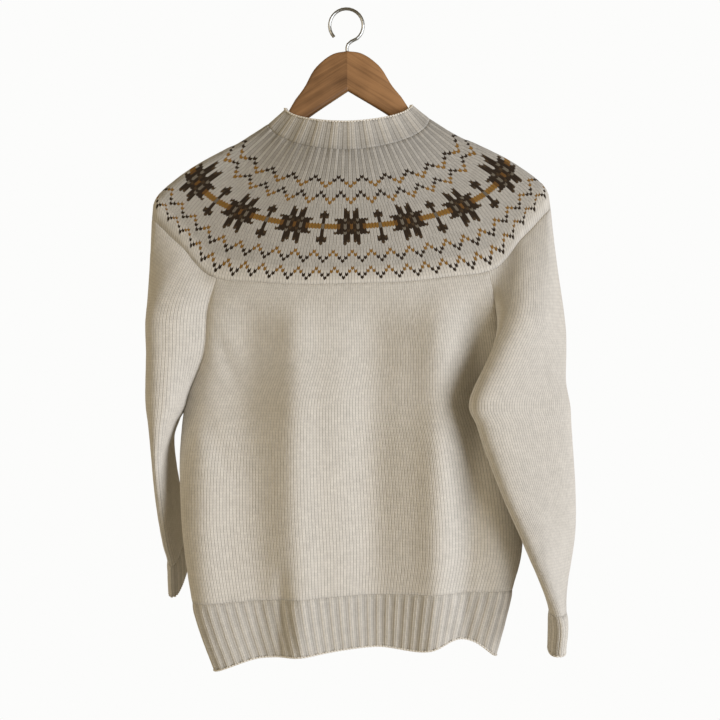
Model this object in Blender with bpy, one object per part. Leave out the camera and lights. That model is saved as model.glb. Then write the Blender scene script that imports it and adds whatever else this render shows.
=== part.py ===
"""A fair isle jumper hanging on a wooden hanger: a circular yoke, two body panels and two
sleeves, with ribbed neckband, hem and cuffs, over two wooden arms and a wire hook.

Millimetres in the tables, metres in the scene. X is to the right, -Y is the side that the
jumper shows, Z is up. The origin is where the hook bears on what holds it up. Left and right
are as seen from -Y.
"""

import math
from collections import namedtuple

import bmesh
import bpy
import numpy as np

MM = 0.001

# Cloth and seams
CLOTH = 2.2  # thickness of the knitted wall
SEAM_GAP = 0.3  # between two pieces, where they are sewn together
LONGEST_MITRE = 3.0  # most that the wall may lengthen at a sharp turn, in thicknesses
SHARPEST_SHARED = 0.5  # least mean of the normals at which a sleeve and the body share a way
RIB_HEIGHT = 1.2  # how far a rib stands out of the wall
NECK_RIB_ROWS = [0.5, 1.0, 0.0]  # share of that height at each row, from the edge to the yoke
CUFF_RIB_ROWS = [0.0, 1.0, 1.0]  # the same for the hem and cuffs, from the plain knit down
RIDGE_RADIUS = 10.5  # outer radius of the cloth where it turns over the hanger
TILT = math.radians(1.5)  # how far the hanger, and the yoke on it, lean to the left
FINE = 400  # steps of a line before its columns are read off it

# Columns of the walls, counted from seam to seam
BODY_COLUMNS = 26
SLEEVE_COLUMNS = 18
FOLD_COLUMN = 3  # the sleeve column that follows its front fold, at the oval's far long end
HEM_SPLIT = 3  # hem columns for each body column; a rib takes two
CUFF_SPLIT = 2  # cuff columns for each sleeve column; a rib takes two
HALF_ROUND = BODY_COLUMNS + SLEEVE_COLUMNS  # columns of half a round of the yoke
NECK_RIB_COLUMNS = 4

# Rounds of the yoke, in the leaning frame of the hanger. ridge_x and ridge_z say where the
# round passes over the shoulder, middle_z its height at the centre of the front, depth how
# far forward it is there, bow the power of its curve, and corner how much of it is the
# angular fall beside the raglan line.
Round = namedtuple("Round", "name ridge_x ridge_z middle_z depth bow corner")
ROUNDS = [
    Round("neck_edge", 70.0, -109.0, -130.5, 36.0, 1.85, 0.0),
    Round("neck_base", 89.0, -125.0, -161.0, 39.0, 1.85, 0.0),
    Round("first_zigzag", 124.0, -146.0, -201.5, 41.0, 2.3, 0.0),
    Round("second_zigzag", 139.0, -152.5, -219.5, 42.0, 2.3, 0.0),
    Round("stars", 177.0, -172.5, -247.5, 43.5, 2.0, 0.0),
    Round("third_zigzag", 208.0, -195.0, -283.5, 46.0, 2.0, 0.5),
    Round("fourth_zigzag", 219.5, -209.0, -301.5, 48.0, 2.0, 1.0),
    Round("yoke_edge", 222.5, -227.0, -308.0, 49.0, 2.0, 1.0),
]
BACK_RISE = 9.0  # the back of each round lies higher than its front
DEPTH_POWER = 2.2  # how flat the yoke stays across its middle
RAGLAN_AT = 0.67  # share of a round's half width at which the raglan line meets it

# How far a round has fallen at each share of its half width, beside the raglan line.
CORNER_SHARE = [0.0, 0.3, 0.5, 0.65, 0.72, 0.78, 0.83, 0.9, 0.97, 1.0]
CORNER_FALL = [1.0, 0.985, 0.93, 0.885, 0.81, 0.65, 0.47, 0.28, 0.08, 0.0]

# Level sections of the body: x of its left and right edge, how far its front and back stand
# off, and how far off they still are at the edges, where the raglan lines run.
BodySection = namedtuple("BodySection", "z left right front back edge power")
BODY = [
    BodySection(-335.0, -150.5, 165.0, 50.0, 44.0, 31.0, 1.9),
    BodySection(-385.0, -156.0, 174.0, 50.0, 43.0, 23.0, 1.7),
    BodySection(-436.0, -178.0, 180.0, 50.0, 42.0, 0.0, 1.6),
    BodySection(-490.0, -184.5, 190.0, 50.0, 43.0, 0.0, 2.6),
    BodySection(-556.0, -183.0, 195.0, 50.0, 43.0, 0.0, 3.6),
    BodySection(-604.0, -178.5, 195.0, 48.0, 42.0, 0.0, 4.0),
    BodySection(-652.0, -170.0, 185.0, 44.0, 39.0, 0.0, 4.0),
    BodySection(-690.0, -159.0, 176.0, 42.0, 38.0, 0.0, 4.0),
    BodySection(-722.0, -145.0, 166.0, 40.0, 37.0, 0.0, 4.0),
]
UNDERARM = 3  # the section at which body and sleeves part, counted from the yoke's edge
HEM_TOP = 7  # the section at which the ribbed hem starts
BODY_STEPS = [2, 2, 2, 2, 2, 1, 1]  # rows of the wall between one section and the next
HEM_STEPS = [1, 1]

# Height of the hem's edge and of its top across the width.
HEM_X = [-145.0, -100.0, -52.0, 0.0, 34.0, 93.0, 125.0, 142.0, 166.0]
HEM_EDGE = [-735.0, -719.0, -715.0, -708.0, -705.5, -708.0, -697.5, -701.0, -719.0]
HEM_TOP_X = [-175.0, -60.0, 30.0, 190.0]
HEM_TOP_Z = [-660.0, -652.0, -648.0, -645.0]

# Soft folds that hang from the yoke: where each lies at the chest and at the hem, its half
# width and its height, positive where it stands out.
Fold = namedtuple("Fold", "chest_x hem_x width height")
FRONT_FOLDS = [
    Fold(-162.0, -156.0, 22.0, 7.0),
    Fold(-108.0, -90.0, 24.0, -7.0),
    Fold(-54.0, -46.0, 20.0, 8.0),
    Fold(32.0, 32.0, 34.0, -10.0),
    Fold(102.0, 98.0, 20.0, 8.0),
    Fold(147.0, 124.0, 20.0, -11.0),
]
BACK_FOLDS = [
    Fold(-108.0, -100.0, 26.0, 7.0),
    Fold(-58.0, -52.0, 24.0, -8.0),
    Fold(6.0, 2.0, 34.0, 6.0),
    Fold(66.0, 60.0, 22.0, -8.0),
    Fold(118.0, 108.0, 26.0, 6.0),
]
FOLD_FADE = 60.0  # distance below the yoke over which the folds come to their full height
FOLD_CHEST = -430.0  # height above which a fold hangs straight down
SIDE_FADE = 8  # power by which the folds fade at the side seams

# Oval sections of the sleeves: centre, half length and half width of the oval, the way its
# length points (degrees from +X), how far the section leans back, and where on the oval the
# wall starts and how far round it goes, in degrees from the oval's long end.
SleeveSection = namedtuple("SleeveSection", "z x y long short turn lean start sweep")
LEFT_SLEEVE = [
    SleeveSection(-335.0, -198.0, 6.0, 53.0, 23.5, 90.0, 0.0, 240.0, -300.0),
    SleeveSection(-385.0, -201.0, 9.0, 57.0, 21.0, 90.0, 0.0, 240.0, -306.0),
    SleeveSection(-436.0, -202.0, 12.0, 59.5, 21.0, 90.0, 0.0, 260.0, -360.0),
    SleeveSection(-462.0, -205.5, 18.0, 62.0, 14.0, 90.0, 6.0, 264.0, -360.0),
    SleeveSection(-490.0, -208.5, 28.0, 61.0, 8.5, 90.0, 14.0, 270.0, -360.0),
    SleeveSection(-530.0, -208.0, 48.0, 57.0, 8.0, 90.0, 26.0, 270.0, -360.0),
    SleeveSection(-575.0, -205.0, 78.0, 51.0, 7.5, 88.0, 33.0, 270.0, -360.0),
    SleeveSection(-606.0, -201.0, 98.0, 45.0, 7.0, 86.0, 33.0, 270.0, -360.0),
    SleeveSection(-648.0, -202.0, 125.0, 42.0, 7.0, 84.0, 33.0, 270.0, -360.0),
]
RIGHT_SLEEVE = [
    SleeveSection(-335.0, 205.0, -14.0, 49.0, 29.0, 57.0, 0.0, 140.0, 315.0),
    SleeveSection(-385.0, 198.0, -24.0, 56.5, 29.0, 44.0, 0.0, 150.0, 305.0),
    SleeveSection(-436.0, 191.0, -38.0, 64.0, 23.0, 32.0, 0.0, 85.0, 360.0),
    SleeveSection(-462.0, 195.5, -41.0, 60.5, 21.0, 32.0, 0.0, 88.0, 360.0),
    SleeveSection(-490.0, 200.5, -44.0, 56.0, 20.0, 32.0, 0.0, 90.0, 360.0),
    SleeveSection(-540.0, 211.5, -46.0, 50.0, 16.0, 38.0, 0.0, 90.0, 360.0),
    SleeveSection(-590.0, 222.0, -44.0, 42.0, 14.0, 50.0, 0.0, 90.0, 360.0),
    SleeveSection(-665.0, 232.0, -36.0, 40.0, 9.0, 83.0, 0.0, 90.0, 360.0),
    SleeveSection(-708.0, 231.0, -36.0, 39.0, 8.0, 85.0, 0.0, 90.0, 360.0),
]
OVAL_POWER = 2.5  # 2 is an ellipse
SLEEVE_STEPS = [2, 2, 2, 1, 1, 2, 2, 2]
CUFF_STEPS = [2]
# Sections at which each length of a sleeve starts and ends, counted from the yoke's edge.
SLEEVE_LENGTHS = {"shoulder": (0, 4), "elbow": (4, 6), "forearm": (6, 8)}
FRONT_PULL = {"left": 0.22, "right": 0.16}  # share of the way round a sleeve over which it
BACK_PULL = {"left": 0.22, "right": 0.34}  # is drawn to the front and back raglan lines
PULL_POWER = 1.5

# Hanger, in its leaning frame
ARM_THICKNESS = 12.0
ARM_ROUNDING = 4.0
ARM_UNDER_CLOTH = 3.9  # from the top of the arm to the outside of the cloth over it
BELL_X = [0.15, 16.0, 28.0, 39.0, 48.0, 59.5]
BELL_TOP = [-46.0, -49.0, -56.6, -68.0, -84.0, -99.0]
SHOULDER_X = [70.0, 89.0, 124.0, 139.0, 177.0, 208.0]
SHOULDER_Z = [-109.0, -125.0, -146.0, -152.5, -172.5, -195.0]
UNDERSIDE_X = [0.15, 45.0, 67.0, 100.0, 150.0, 206.0]
UNDERSIDE_Z = [-90.5, -119.3, -135.0, -154.0, -180.0, -211.0]
ARM_STEPS = 9  # points along its shoulder, and along its underside
ARM_TIP = 2.0  # how far its top stops short of its underside
WIRE = 3.6
CROOK_RADIUS = 18.8  # of the wire's centreline
CROOK_DEGREES = range(-52, 222, 13)  # round the crook, from +X
SHANK = [(0.0, -45.6), (0.0, -41.6), (1.2, -38.1), (5.0, -34.8)]  # from the wood to the crook

# Looks
SOFT_CLOTH = math.radians(50)  # edges sharper than this stay sharp
SOFT_WOOD = math.radians(40)
WOOL_COLOUR, WOOL_ROUGHNESS = (0.68, 0.63, 0.50), 0.95
BEECH_COLOUR, BEECH_ROUGHNESS = (0.25, 0.11, 0.045), 0.45
STEEL_COLOUR, STEEL_ROUGHNESS = (0.55, 0.55, 0.55), 0.3


def through(at, knots, values):
    """Read a smooth curve through the values at the knots."""
    at = np.asarray(at, float)
    knots = np.asarray(knots, float)
    values = np.asarray(values, float)
    slopes = np.gradient(values, knots, axis=0)
    i = np.clip(np.searchsorted(knots, at) - 1, 0, len(knots) - 2)
    span = knots[i + 1] - knots[i]
    t = (at - knots[i]) / span
    shape = t.shape + (1,) * (values.ndim - 1)
    t = t.reshape(shape)
    span = span.reshape(shape)
    start = (2 * t**3 - 3 * t**2 + 1) * values[i] + (t**3 - 2 * t**2 + t) * span * slopes[i]
    end = (3 * t**2 - 2 * t**3) * values[i + 1] + (t**3 - t**2) * span * slopes[i + 1]
    return start + end


def lengths(line):
    """Distance along a line of points, from its first."""
    steps = np.linalg.norm(np.diff(line, axis=0), axis=1)
    return np.concatenate([[0.0], np.cumsum(steps)])


def read_along(line, distances):
    """The points of a line at these distances from its start."""
    along = lengths(line)
    return np.stack([np.interp(distances, along, line[:, k]) for k in range(3)], axis=1)


def spread(line, columns):
    """The line as evenly spaced points, one more than the columns."""
    return read_along(line, np.linspace(0.0, lengths(line)[-1], columns + 1))


def split(line, times):
    """The line with each of its steps cut into equal parts."""
    at = np.linspace(0, len(line) - 1, (len(line) - 1) * times + 1)
    return np.stack([np.interp(at, np.arange(len(line)), line[:, k]) for k in range(3)], axis=1)


def leaning(points):
    """Turn points about the hook by the hanger's lean."""
    x, y, z = points[..., 0], points[..., 1], points[..., 2]
    cos, sin = math.cos(TILT), math.sin(TILT)
    return np.stack([x * cos - z * sin, y, x * sin + z * cos], axis=-1)


def half_round_line(row, side):
    """Half a round of the yoke as a fine line, from the left ridge to the right one."""
    share = np.sin(np.linspace(-math.pi / 2, math.pi / 2, FINE + 1))
    size = np.abs(share)
    plain = (1 - size**row.bow) ** (1 / row.bow)
    cornered = through(size, CORNER_SHARE, CORNER_FALL)
    fall = (1 - row.corner) * plain + row.corner * cornered
    rise = BACK_RISE if side > 0 else 0.0
    x = row.ridge_x * share
    z = row.ridge_z + (row.middle_z + rise - row.ridge_z) * fall
    flat = lengths(np.stack([x, 0 * x, z], axis=1))
    from_ridge = np.minimum(flat, flat[-1] - flat)
    nose = RIDGE_RADIUS * np.sqrt(1 - (1 - np.minimum(from_ridge / RIDGE_RADIUS, 1)) ** 2)
    y = side * (nose + (row.depth - RIDGE_RADIUS) * (1 - size**DEPTH_POWER))
    return np.stack([x, y, z], axis=1)


def half_round_columns(length, raglan_share):
    """Distances of a half round's columns: close over the ridge, then even to each seam."""
    ridge = min(RIDGE_RADIUS * math.pi / 2, 2 * length / HALF_ROUND)
    half_sleeve = SLEEVE_COLUMNS // 2
    shoulder = np.concatenate([
        [0.0, ridge / 2],
        np.linspace(ridge, raglan_share * length, half_sleeve - 1),
    ])
    front = np.linspace(shoulder[-1], length - shoulder[-1], BODY_COLUMNS + 1)
    return np.concatenate([shoulder[:-1], front, length - shoulder[-2::-1]])


def raglan_share():
    """Share of the yoke's edge that lies between the ridge and the raglan line."""
    line = half_round_line(ROUNDS[-1], -1)
    along = lengths(line)
    return np.interp(-RAGLAN_AT * ROUNDS[-1].ridge_x, line[:, 0], along) / along[-1]


def half_rounds(side):
    """Every round's front or back half, as points at the columns."""
    edge_share = raglan_share()
    even_share = SLEEVE_COLUMNS / 2 / HALF_ROUND
    halves = []
    for row in ROUNDS:
        line = half_round_line(row, side)
        grown = (row.ridge_x - ROUNDS[0].ridge_x) / (ROUNDS[-1].ridge_x - ROUNDS[0].ridge_x)
        share = even_share + (edge_share - even_share) * grown
        halves.append(read_along(line, half_round_columns(lengths(line)[-1], share)))
    return leaning(np.array(halves))


def rounds():
    """Every round of the yoke, from the left ridge over the front and back again."""
    front, back = half_rounds(-1), half_rounds(1)
    return np.concatenate([front, back[:, -2:0:-1]], axis=1), front, back


def fold_depth(points, folds):
    """How far the folds move each point out, from nothing in the first row."""
    x, z = points[..., 0], points[..., 2]
    down = np.clip((z[:1] - z) / FOLD_FADE, 0, 1)
    hem_share = np.clip((FOLD_CHEST - z) / (FOLD_CHEST - BODY[-1].z), 0, 1)
    depth = np.zeros_like(x)
    for fold in folds:
        middle = fold.chest_x + (fold.hem_x - fold.chest_x) * hem_share
        depth += fold.height * np.exp(-(((x - middle) / fold.width) ** 2))
    return depth * down * down * (3 - 2 * down)


def body_section(section, side):
    """Front or back half of a level section, from its left edge to its right one."""
    share = np.sin(np.linspace(-math.pi / 2, math.pi / 2, FINE // 2 + 1))
    middle = (section.left + section.right) / 2
    x = middle + (section.right - section.left) / 2 * share
    deep = section.front if side < 0 else section.back
    curve = (1 - np.abs(share) ** section.power) ** (1 / section.power)
    y = side * (section.edge + (deep - section.edge) * curve)
    line = np.stack([x, y, np.full_like(x, section.z)], axis=1)
    return spread(line, BODY_COLUMNS)


def loft(sections, steps):
    """Rows of points through the sections, with this many steps between each two."""
    knots = np.arange(len(sections))
    at = [0.0]
    for k, count in enumerate(steps):
        at += [k + (j + 1) / count for j in range(count)]
    return through(at, knots, np.array(sections))


def body_panel(top, side, folds):
    """The front or back, from the yoke's edge to the hem's edge, with its folds."""
    sections = [top] + [body_section(section, side) for section in BODY]
    hem_x = sections[HEM_TOP][:, 0]
    sections[HEM_TOP][:, 2] = through(hem_x, HEM_TOP_X, HEM_TOP_Z)
    edge_x = np.clip(sections[-1][:, 0], HEM_X[0], HEM_X[-1])
    sections[-1][:, 2] = through(edge_x, HEM_X, HEM_EDGE)
    sections[-2][:, 2] = (sections[-1][:, 2] + sections[HEM_TOP][:, 2]) / 2
    rows = loft(sections, BODY_STEPS + HEM_STEPS)
    across = np.linspace(-1, 1, BODY_COLUMNS + 1)
    rows[..., 1] += side * fold_depth(rows, folds) * (1 - across**SIDE_FADE)
    return rows


def blunt(wave):
    """A sine or cosine drawn out, which makes an oval's ends blunter."""
    return np.sign(wave) * np.abs(wave) ** (2 / OVAL_POWER)


def sleeve_section(section):
    """The part of an oval that the sleeve's wall follows, from its start the way it goes."""
    turn = math.radians(section.turn)
    lean = math.radians(section.lean)
    lines = []
    for first, last in ((section.start, 180.0), (180.0, section.start + section.sweep)):
        t = np.radians(np.linspace(first, last, FINE + 1))
        long_way = section.long * blunt(np.cos(t))
        short_way = section.short * blunt(np.sin(t))
        x = section.x + long_way * math.cos(turn) - short_way * math.sin(turn)
        deep = long_way * math.sin(turn) + short_way * math.cos(turn)
        y = section.y + deep * math.cos(lean)
        z = section.z + deep * math.sin(lean)
        lines.append(np.stack([x, y, z], axis=1))
    under = spread(lines[0], FOLD_COLUMN)
    over = spread(lines[1], SLEEVE_COLUMNS - FOLD_COLUMN)
    return np.concatenate([under, over[1:]])


def sleeve(name, top, sections, raglan_front, raglan_back):
    """A sleeve from the yoke's edge to its cuff's edge, drawn in to both raglan lines."""
    rows = loft([top] + [sleeve_section(section) for section in sections],
                SLEEVE_STEPS + CUFF_STEPS)
    round_way = np.linspace(0, 1, SLEEVE_COLUMNS + 1)[:, None]
    near_front = np.clip(1 - round_way / FRONT_PULL[name], 0, 1) ** PULL_POWER
    near_back = np.clip(1 - (1 - round_way) / BACK_PULL[name], 0, 1) ** PULL_POWER
    joined = len(raglan_front)
    for j in range(joined):
        to_front = raglan_front[j] - rows[j, 0]
        to_back = raglan_back[j] - rows[j, -1]
        rows[j] += near_front * to_front + near_back * to_back
    seam = (rows[joined:, 0] + rows[joined:, -1]) / 2
    rows[joined:, 0] = seam
    rows[joined:, -1] = seam
    return rows


def face_normals(piece):
    """Unit normals of a piece's faces."""
    rows = np.concatenate([piece.rows, piece.rows[:, :1]], axis=1) if piece.round else piece.rows
    falling = rows[1:, 1:] - rows[:-1, :-1]
    rising = rows[1:, :-1] - rows[:-1, 1:]
    normals = piece.outward * np.cross(falling, rising)
    return normals / np.linalg.norm(normals, axis=-1, keepdims=True)


def key(point):
    """A point's place to a thousandth of a millimetre."""
    return tuple(np.round(point, 3) + 0.0)


def on_arm(piece):
    """Whether a piece belongs to a sleeve."""
    return piece.name.startswith(("sleeve", "cuff"))


def normal_sums(pieces):
    """Sum and count of the face normals at each place, apart for the body and the sleeves.

    Those of a cuff's upper border lie in the plane of that border.
    """
    sums, counts = {}, {}
    for piece in pieces:
        faces = face_normals(piece)
        count = piece.rows.shape[1]
        for j in range(faces.shape[0]):
            for i in range(faces.shape[1]):
                for row, column in ((j, i), (j, i + 1), (j + 1, i), (j + 1, i + 1)):
                    spot = key(piece.rows[row, column % count]), on_arm(piece)
                    sums[spot] = sums.get(spot, 0.0) + faces[j, i]
                    counts[spot] = counts.get(spot, 0) + 1
    for piece in pieces:
        if piece.times == CUFF_SPLIT:
            border = piece.rows[0]
            across = np.linalg.svd(border - border.mean(axis=0))[2][-1]
            for point in border:
                spot = key(point), True
                sums[spot] = sums[spot] - sums[spot] @ across * across
    return sums, counts


def ways_out(pieces):
    """The way from the inside out at each place, averaged over all the pieces that meet there.

    It is longer than 1 where faces meet at an angle, so that the wall keeps its thickness.
    Where a sleeve turns off the body too sharply, each of the two has its own.
    """
    sums, counts = normal_sums(pieces)
    ways = {}
    for place, arm in sums:
        total, count = sums[place, arm], counts[place, arm]
        if (place, not arm) in sums:
            both = total + sums[place, not arm]
            both_count = count + counts[place, not arm]
            if np.linalg.norm(both) > SHARPEST_SHARED * both_count:
                total, count = both, both_count
        size = np.linalg.norm(total)
        ways[place, arm] = total / size * min(count / size, LONGEST_MITRE)
    return ways


def drawn_back(points, closed):
    """Move the outer rows, and the outer columns of an open piece, half a gap inwards."""
    points = points.copy()
    pairs = [(points[0], points[1]), (points[-1], points[-2])]
    if not closed:
        pairs += [(points[:, 0], points[:, 1]), (points[:, -1], points[:, -2])]
    for edge, inside in pairs:
        step = inside - edge
        edge += step / np.linalg.norm(step, axis=-1, keepdims=True) * SEAM_GAP / 2
    return points


def along_border(away, times, closed):
    """Ways out of a finely cut border, kept level with the coarser border that it joins."""
    coarse = away[::times]
    if closed:
        coarse = np.concatenate([coarse, away[:1]])
    return split(coarse, times)[:len(away)]


def wall(piece, ways):
    """A closed wall: the piece's points, ribs raised, over a plain inside."""
    rows = piece.rows
    away = np.array([[ways[key(point), on_arm(piece)] for point in row] for row in rows])
    away[0] = along_border(away[0], piece.times, piece.round)
    inner = drawn_back(rows - away * CLOTH, piece.round)
    outer = drawn_back(rows + away * piece.ribs[..., None] * RIB_HEIGHT, piece.round)
    height, width = rows.shape[:2]
    mesh = bpy.data.meshes.new(piece.name)
    bm = bmesh.new()
    grids = []
    for points in (outer, inner):
        flat = [bm.verts.new(point * MM) for point in points.reshape(-1, 3)]
        grids.append([flat[j * width:(j + 1) * width] for j in range(height)])
    out, within = grids
    columns = width if piece.round else width - 1

    def face(*verts):
        bm.faces.new(verts if piece.outward < 0 else verts[::-1])

    def rim(a, b):
        """The rim from place a to place b, cut along the same diagonal in both joined pieces."""
        out_a, in_a = out[a[0]][a[1]], within[a[0]][a[1]]
        out_b, in_b = out[b[0]][b[1]], within[b[0]][b[1]]
        if key(rows[a]) < key(rows[b]):
            face(out_a, in_a, in_b)
            face(out_a, in_b, out_b)
        else:
            face(out_a, in_a, out_b)
            face(in_a, in_b, out_b)

    for i in range(columns):
        n = (i + 1) % width
        for j in range(height - 1):
            face(out[j][i], out[j + 1][i], out[j + 1][n], out[j][n])
            face(within[j][n], within[j + 1][n], within[j + 1][i], within[j][i])
        rim((0, n), (0, i))
        rim((height - 1, i), (height - 1, n))
    if not piece.round:
        for j in range(height - 1):
            rim((j, 0), (j + 1, 0))
            rim((j + 1, width - 1), (j, width - 1))
    bm.to_mesh(mesh)
    bm.free()
    mesh.shade_smooth()
    mesh.set_sharp_from_angle(angle=SOFT_CLOTH)
    return mesh


Piece = namedtuple("Piece", "name rows round outward ribs times")


def ribs_across(rows, period, raised, row_heights):
    """Rib heights for a ribbed piece: which columns stand out, faded by row."""
    columns = np.isin(np.arange(rows.shape[1]) % period, raised).astype(float)
    return np.array(row_heights)[:, None] * columns[None, :]


def cloth_pieces():
    """Every piece of the jumper as rows of points."""
    around, front, back = rounds()
    neck_rows = loft(around[:2], [2])
    yoke_rows = loft(around[1:], [2, 1, 1, 1, 1, 1])
    first = SLEEVE_COLUMNS // 2
    last = first + BODY_COLUMNS
    front_rows = body_panel(front[-1, first:last + 1], -1, FRONT_FOLDS)
    back_rows = body_panel(back[-1, first:last + 1], 1, BACK_FOLDS)
    front_rows, back_rows = sides_joined(front_rows, back_rows)
    joined = sum(BODY_STEPS[:UNDERARM]) + 1
    tops = {
        "left": np.concatenate([front[-1, first::-1], back[-1, 1:first + 1]]),
        "right": np.concatenate([front[-1, last:], back[-1, last:-1][::-1]]),
    }
    sections = {"left": LEFT_SLEEVE, "right": RIGHT_SLEEVE}
    pieces = [
        Piece("neckband", neck_rows, True, -1, ribs_across(
            neck_rows, NECK_RIB_COLUMNS, [1, 2], NECK_RIB_ROWS), 1),
        plain_piece("yoke", yoke_rows, True, -1),
    ]
    hem_row = sum(BODY_STEPS)
    for name, rows, outward in (("front", front_rows, -1), ("back", back_rows, 1)):
        pieces.append(plain_piece("body_" + name, rows[:hem_row + 1], False, outward))
        hem = np.array([split(row, HEM_SPLIT) for row in rows[hem_row:]])
        ribs = ribs_across(hem, 2, [1], CUFF_RIB_ROWS)
        pieces.append(Piece("hem_rib_" + name, hem, False, outward, ribs, HEM_SPLIT))
    cuff_row = sum(SLEEVE_STEPS)
    for name, edge, outward in (("left", 0, 1), ("right", -1, -1)):
        raglan_front = front_rows[:joined, edge]
        raglan_back = back_rows[:joined, edge]
        rows = sleeve(name, tops[name], sections[name], raglan_front, raglan_back)
        for length, (start, end) in SLEEVE_LENGTHS.items():
            part = rows[sum(SLEEVE_STEPS[:start]):sum(SLEEVE_STEPS[:end]) + 1]
            pieces.append(plain_piece(f"sleeve_{name}_{length}", part, False, outward))
        cuff = np.array([split(row, CUFF_SPLIT)[:-1] for row in rows[cuff_row:]])
        ribs = ribs_across(cuff, 2, [1], CUFF_RIB_ROWS)
        pieces.append(Piece("cuff_" + name, cuff, True, outward, ribs, CUFF_SPLIT))
    return pieces


def plain_piece(name, rows, closed, outward):
    """A piece with no ribs."""
    return Piece(name, rows, closed, outward, np.zeros(rows.shape[:2]), 1)


def sides_joined(front_rows, back_rows):
    """From the underarm down, give both panels the same side edges."""
    start = sum(BODY_STEPS[:UNDERARM])
    for edge in (0, -1):
        shared = (front_rows[start:, edge] + back_rows[start:, edge]) / 2
        front_rows[start:, edge] = shared
        back_rows[start:, edge] = shared
    return front_rows, back_rows


def arm_outline():
    """Outline of the hanger's right arm, from the middle along its top and back below."""
    x = np.linspace(SHOULDER_X[0], SHOULDER_X[-1] - ARM_TIP, ARM_STEPS)
    z = through(x, SHOULDER_X, SHOULDER_Z)
    slope = np.gradient(z, x)
    size = np.sqrt(1 + slope**2)
    cover_x = x + slope / size * ARM_UNDER_CLOTH
    cover_z = z - ARM_UNDER_CLOTH / size
    top = list(zip(BELL_X, BELL_TOP)) + list(zip(cover_x, cover_z))
    below_x = np.linspace(UNDERSIDE_X[-1], UNDERSIDE_X[0], ARM_STEPS)
    below = list(zip(below_x, through(below_x, UNDERSIDE_X, UNDERSIDE_Z)))
    return top + below


def add_object(name, mesh, material, collection):
    """Make the mesh an object of the collection, with its material."""
    obj = bpy.data.objects.new(name, mesh)
    obj.data.materials.append(material)
    collection.objects.link(obj)
    return obj


def hanger_arm(name, side, material, collection):
    """One wooden arm: the outline at its thickness, its long edges rounded."""
    outline = [(side * x, z) for x, z in arm_outline()]
    half = ARM_THICKNESS / 2
    bm = bmesh.new()
    verts = [bm.verts.new((x * MM, -half * MM, z * MM)) for x, z in outline]
    face = bm.faces.new(verts)
    grown = bmesh.ops.extrude_face_region(bm, geom=[face])["geom"]
    moved = [item for item in grown if isinstance(item, bmesh.types.BMVert)]
    bmesh.ops.translate(bm, verts=moved, vec=(0, ARM_THICKNESS * MM, 0))
    bmesh.ops.recalc_face_normals(bm, faces=bm.faces)
    middle = (BELL_X[0] + BELL_X[1]) / 2 * MM
    long_edges = [
        edge for edge in bm.edges
        if abs(edge.verts[0].co.y - edge.verts[1].co.y) < MM
        and max(abs(vert.co.x) for vert in edge.verts) > middle
    ]
    bmesh.ops.bevel(
        bm, geom=long_edges, offset=ARM_ROUNDING * MM, segments=2, profile=0.5, affect="EDGES")
    mesh = bpy.data.meshes.new(name)
    bm.to_mesh(mesh)
    bm.free()
    mesh.shade_smooth()
    mesh.set_sharp_from_angle(angle=SOFT_WOOD)
    arm = add_object(name, mesh, material, collection)
    arm.rotation_euler = (0, -TILT, 0)


def hook_route():
    """Centreline of the hook: up from the wood, out to the right, round and down."""
    centre = WIRE / 2 - CROOK_RADIUS
    points = list(SHANK)
    for degrees in CROOK_DEGREES:
        angle = math.radians(degrees)
        x = CROOK_RADIUS * math.cos(angle)
        points.append((x, centre + CROOK_RADIUS * math.sin(angle)))
    return points


def hanger_hook(material, collection):
    """The steel wire hook, a tube along its route."""
    curve = bpy.data.curves.new("hanger_hook", "CURVE")
    curve.dimensions = "3D"
    curve.bevel_depth = WIRE / 2 * MM
    curve.bevel_resolution = 2
    curve.use_fill_caps = True
    route = hook_route()
    spline = curve.splines.new("POLY")
    spline.points.add(len(route) - 1)
    for point, (x, z) in zip(spline.points, route):
        point.co = (x * MM, 0, z * MM, 1)
    hook = bpy.data.objects.new("hanger_hook", curve)
    hook.data.materials.append(material)
    hook.rotation_euler = (0, -TILT, 0)
    collection.objects.link(hook)


def material(name, colour, roughness, metallic=0.0):
    """A Principled material of one colour."""
    made = bpy.data.materials.new(name)
    made.use_nodes = True
    shader = made.node_tree.nodes["Principled BSDF"]
    shader.inputs["Base Color"].default_value = (*colour, 1.0)
    shader.inputs["Roughness"].default_value = roughness
    shader.inputs["Metallic"].default_value = metallic
    return made


def main():
    for obj in list(bpy.data.objects):
        bpy.data.objects.remove(obj)
    collection = bpy.data.collections.new("fair_isle_jumper")
    bpy.context.scene.collection.children.link(collection)
    pieces = cloth_pieces()
    ways = ways_out(pieces)
    for piece in pieces:
        wool = material(piece.name + "_wool", WOOL_COLOUR, WOOL_ROUGHNESS)
        add_object(piece.name, wall(piece, ways), wool, collection)
    for name, side in (("hanger_arm_left", -1), ("hanger_arm_right", 1)):
        wood = material(name + "_beech", BEECH_COLOUR, BEECH_ROUGHNESS)
        hanger_arm(name, side, wood, collection)
    hanger_hook(material("hook_steel", STEEL_COLOUR, STEEL_ROUGHNESS, 1.0), collection)


main()
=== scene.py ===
"""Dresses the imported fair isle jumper: knitted wool, patterned yoke, ribs, beech hanger, wire hook.

Tables are in millimetres and the scene is in metres. X is to the right, -Y is the side that the
jumper shows and Z is up. The origin is where the hook bears on what holds it up.
"""

import math
from collections import namedtuple
from itertools import groupby

import bmesh
import bpy
import numpy as np
from bpy.props import FloatProperty, FloatVectorProperty, PointerProperty
from mathutils import Matrix, Vector


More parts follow.
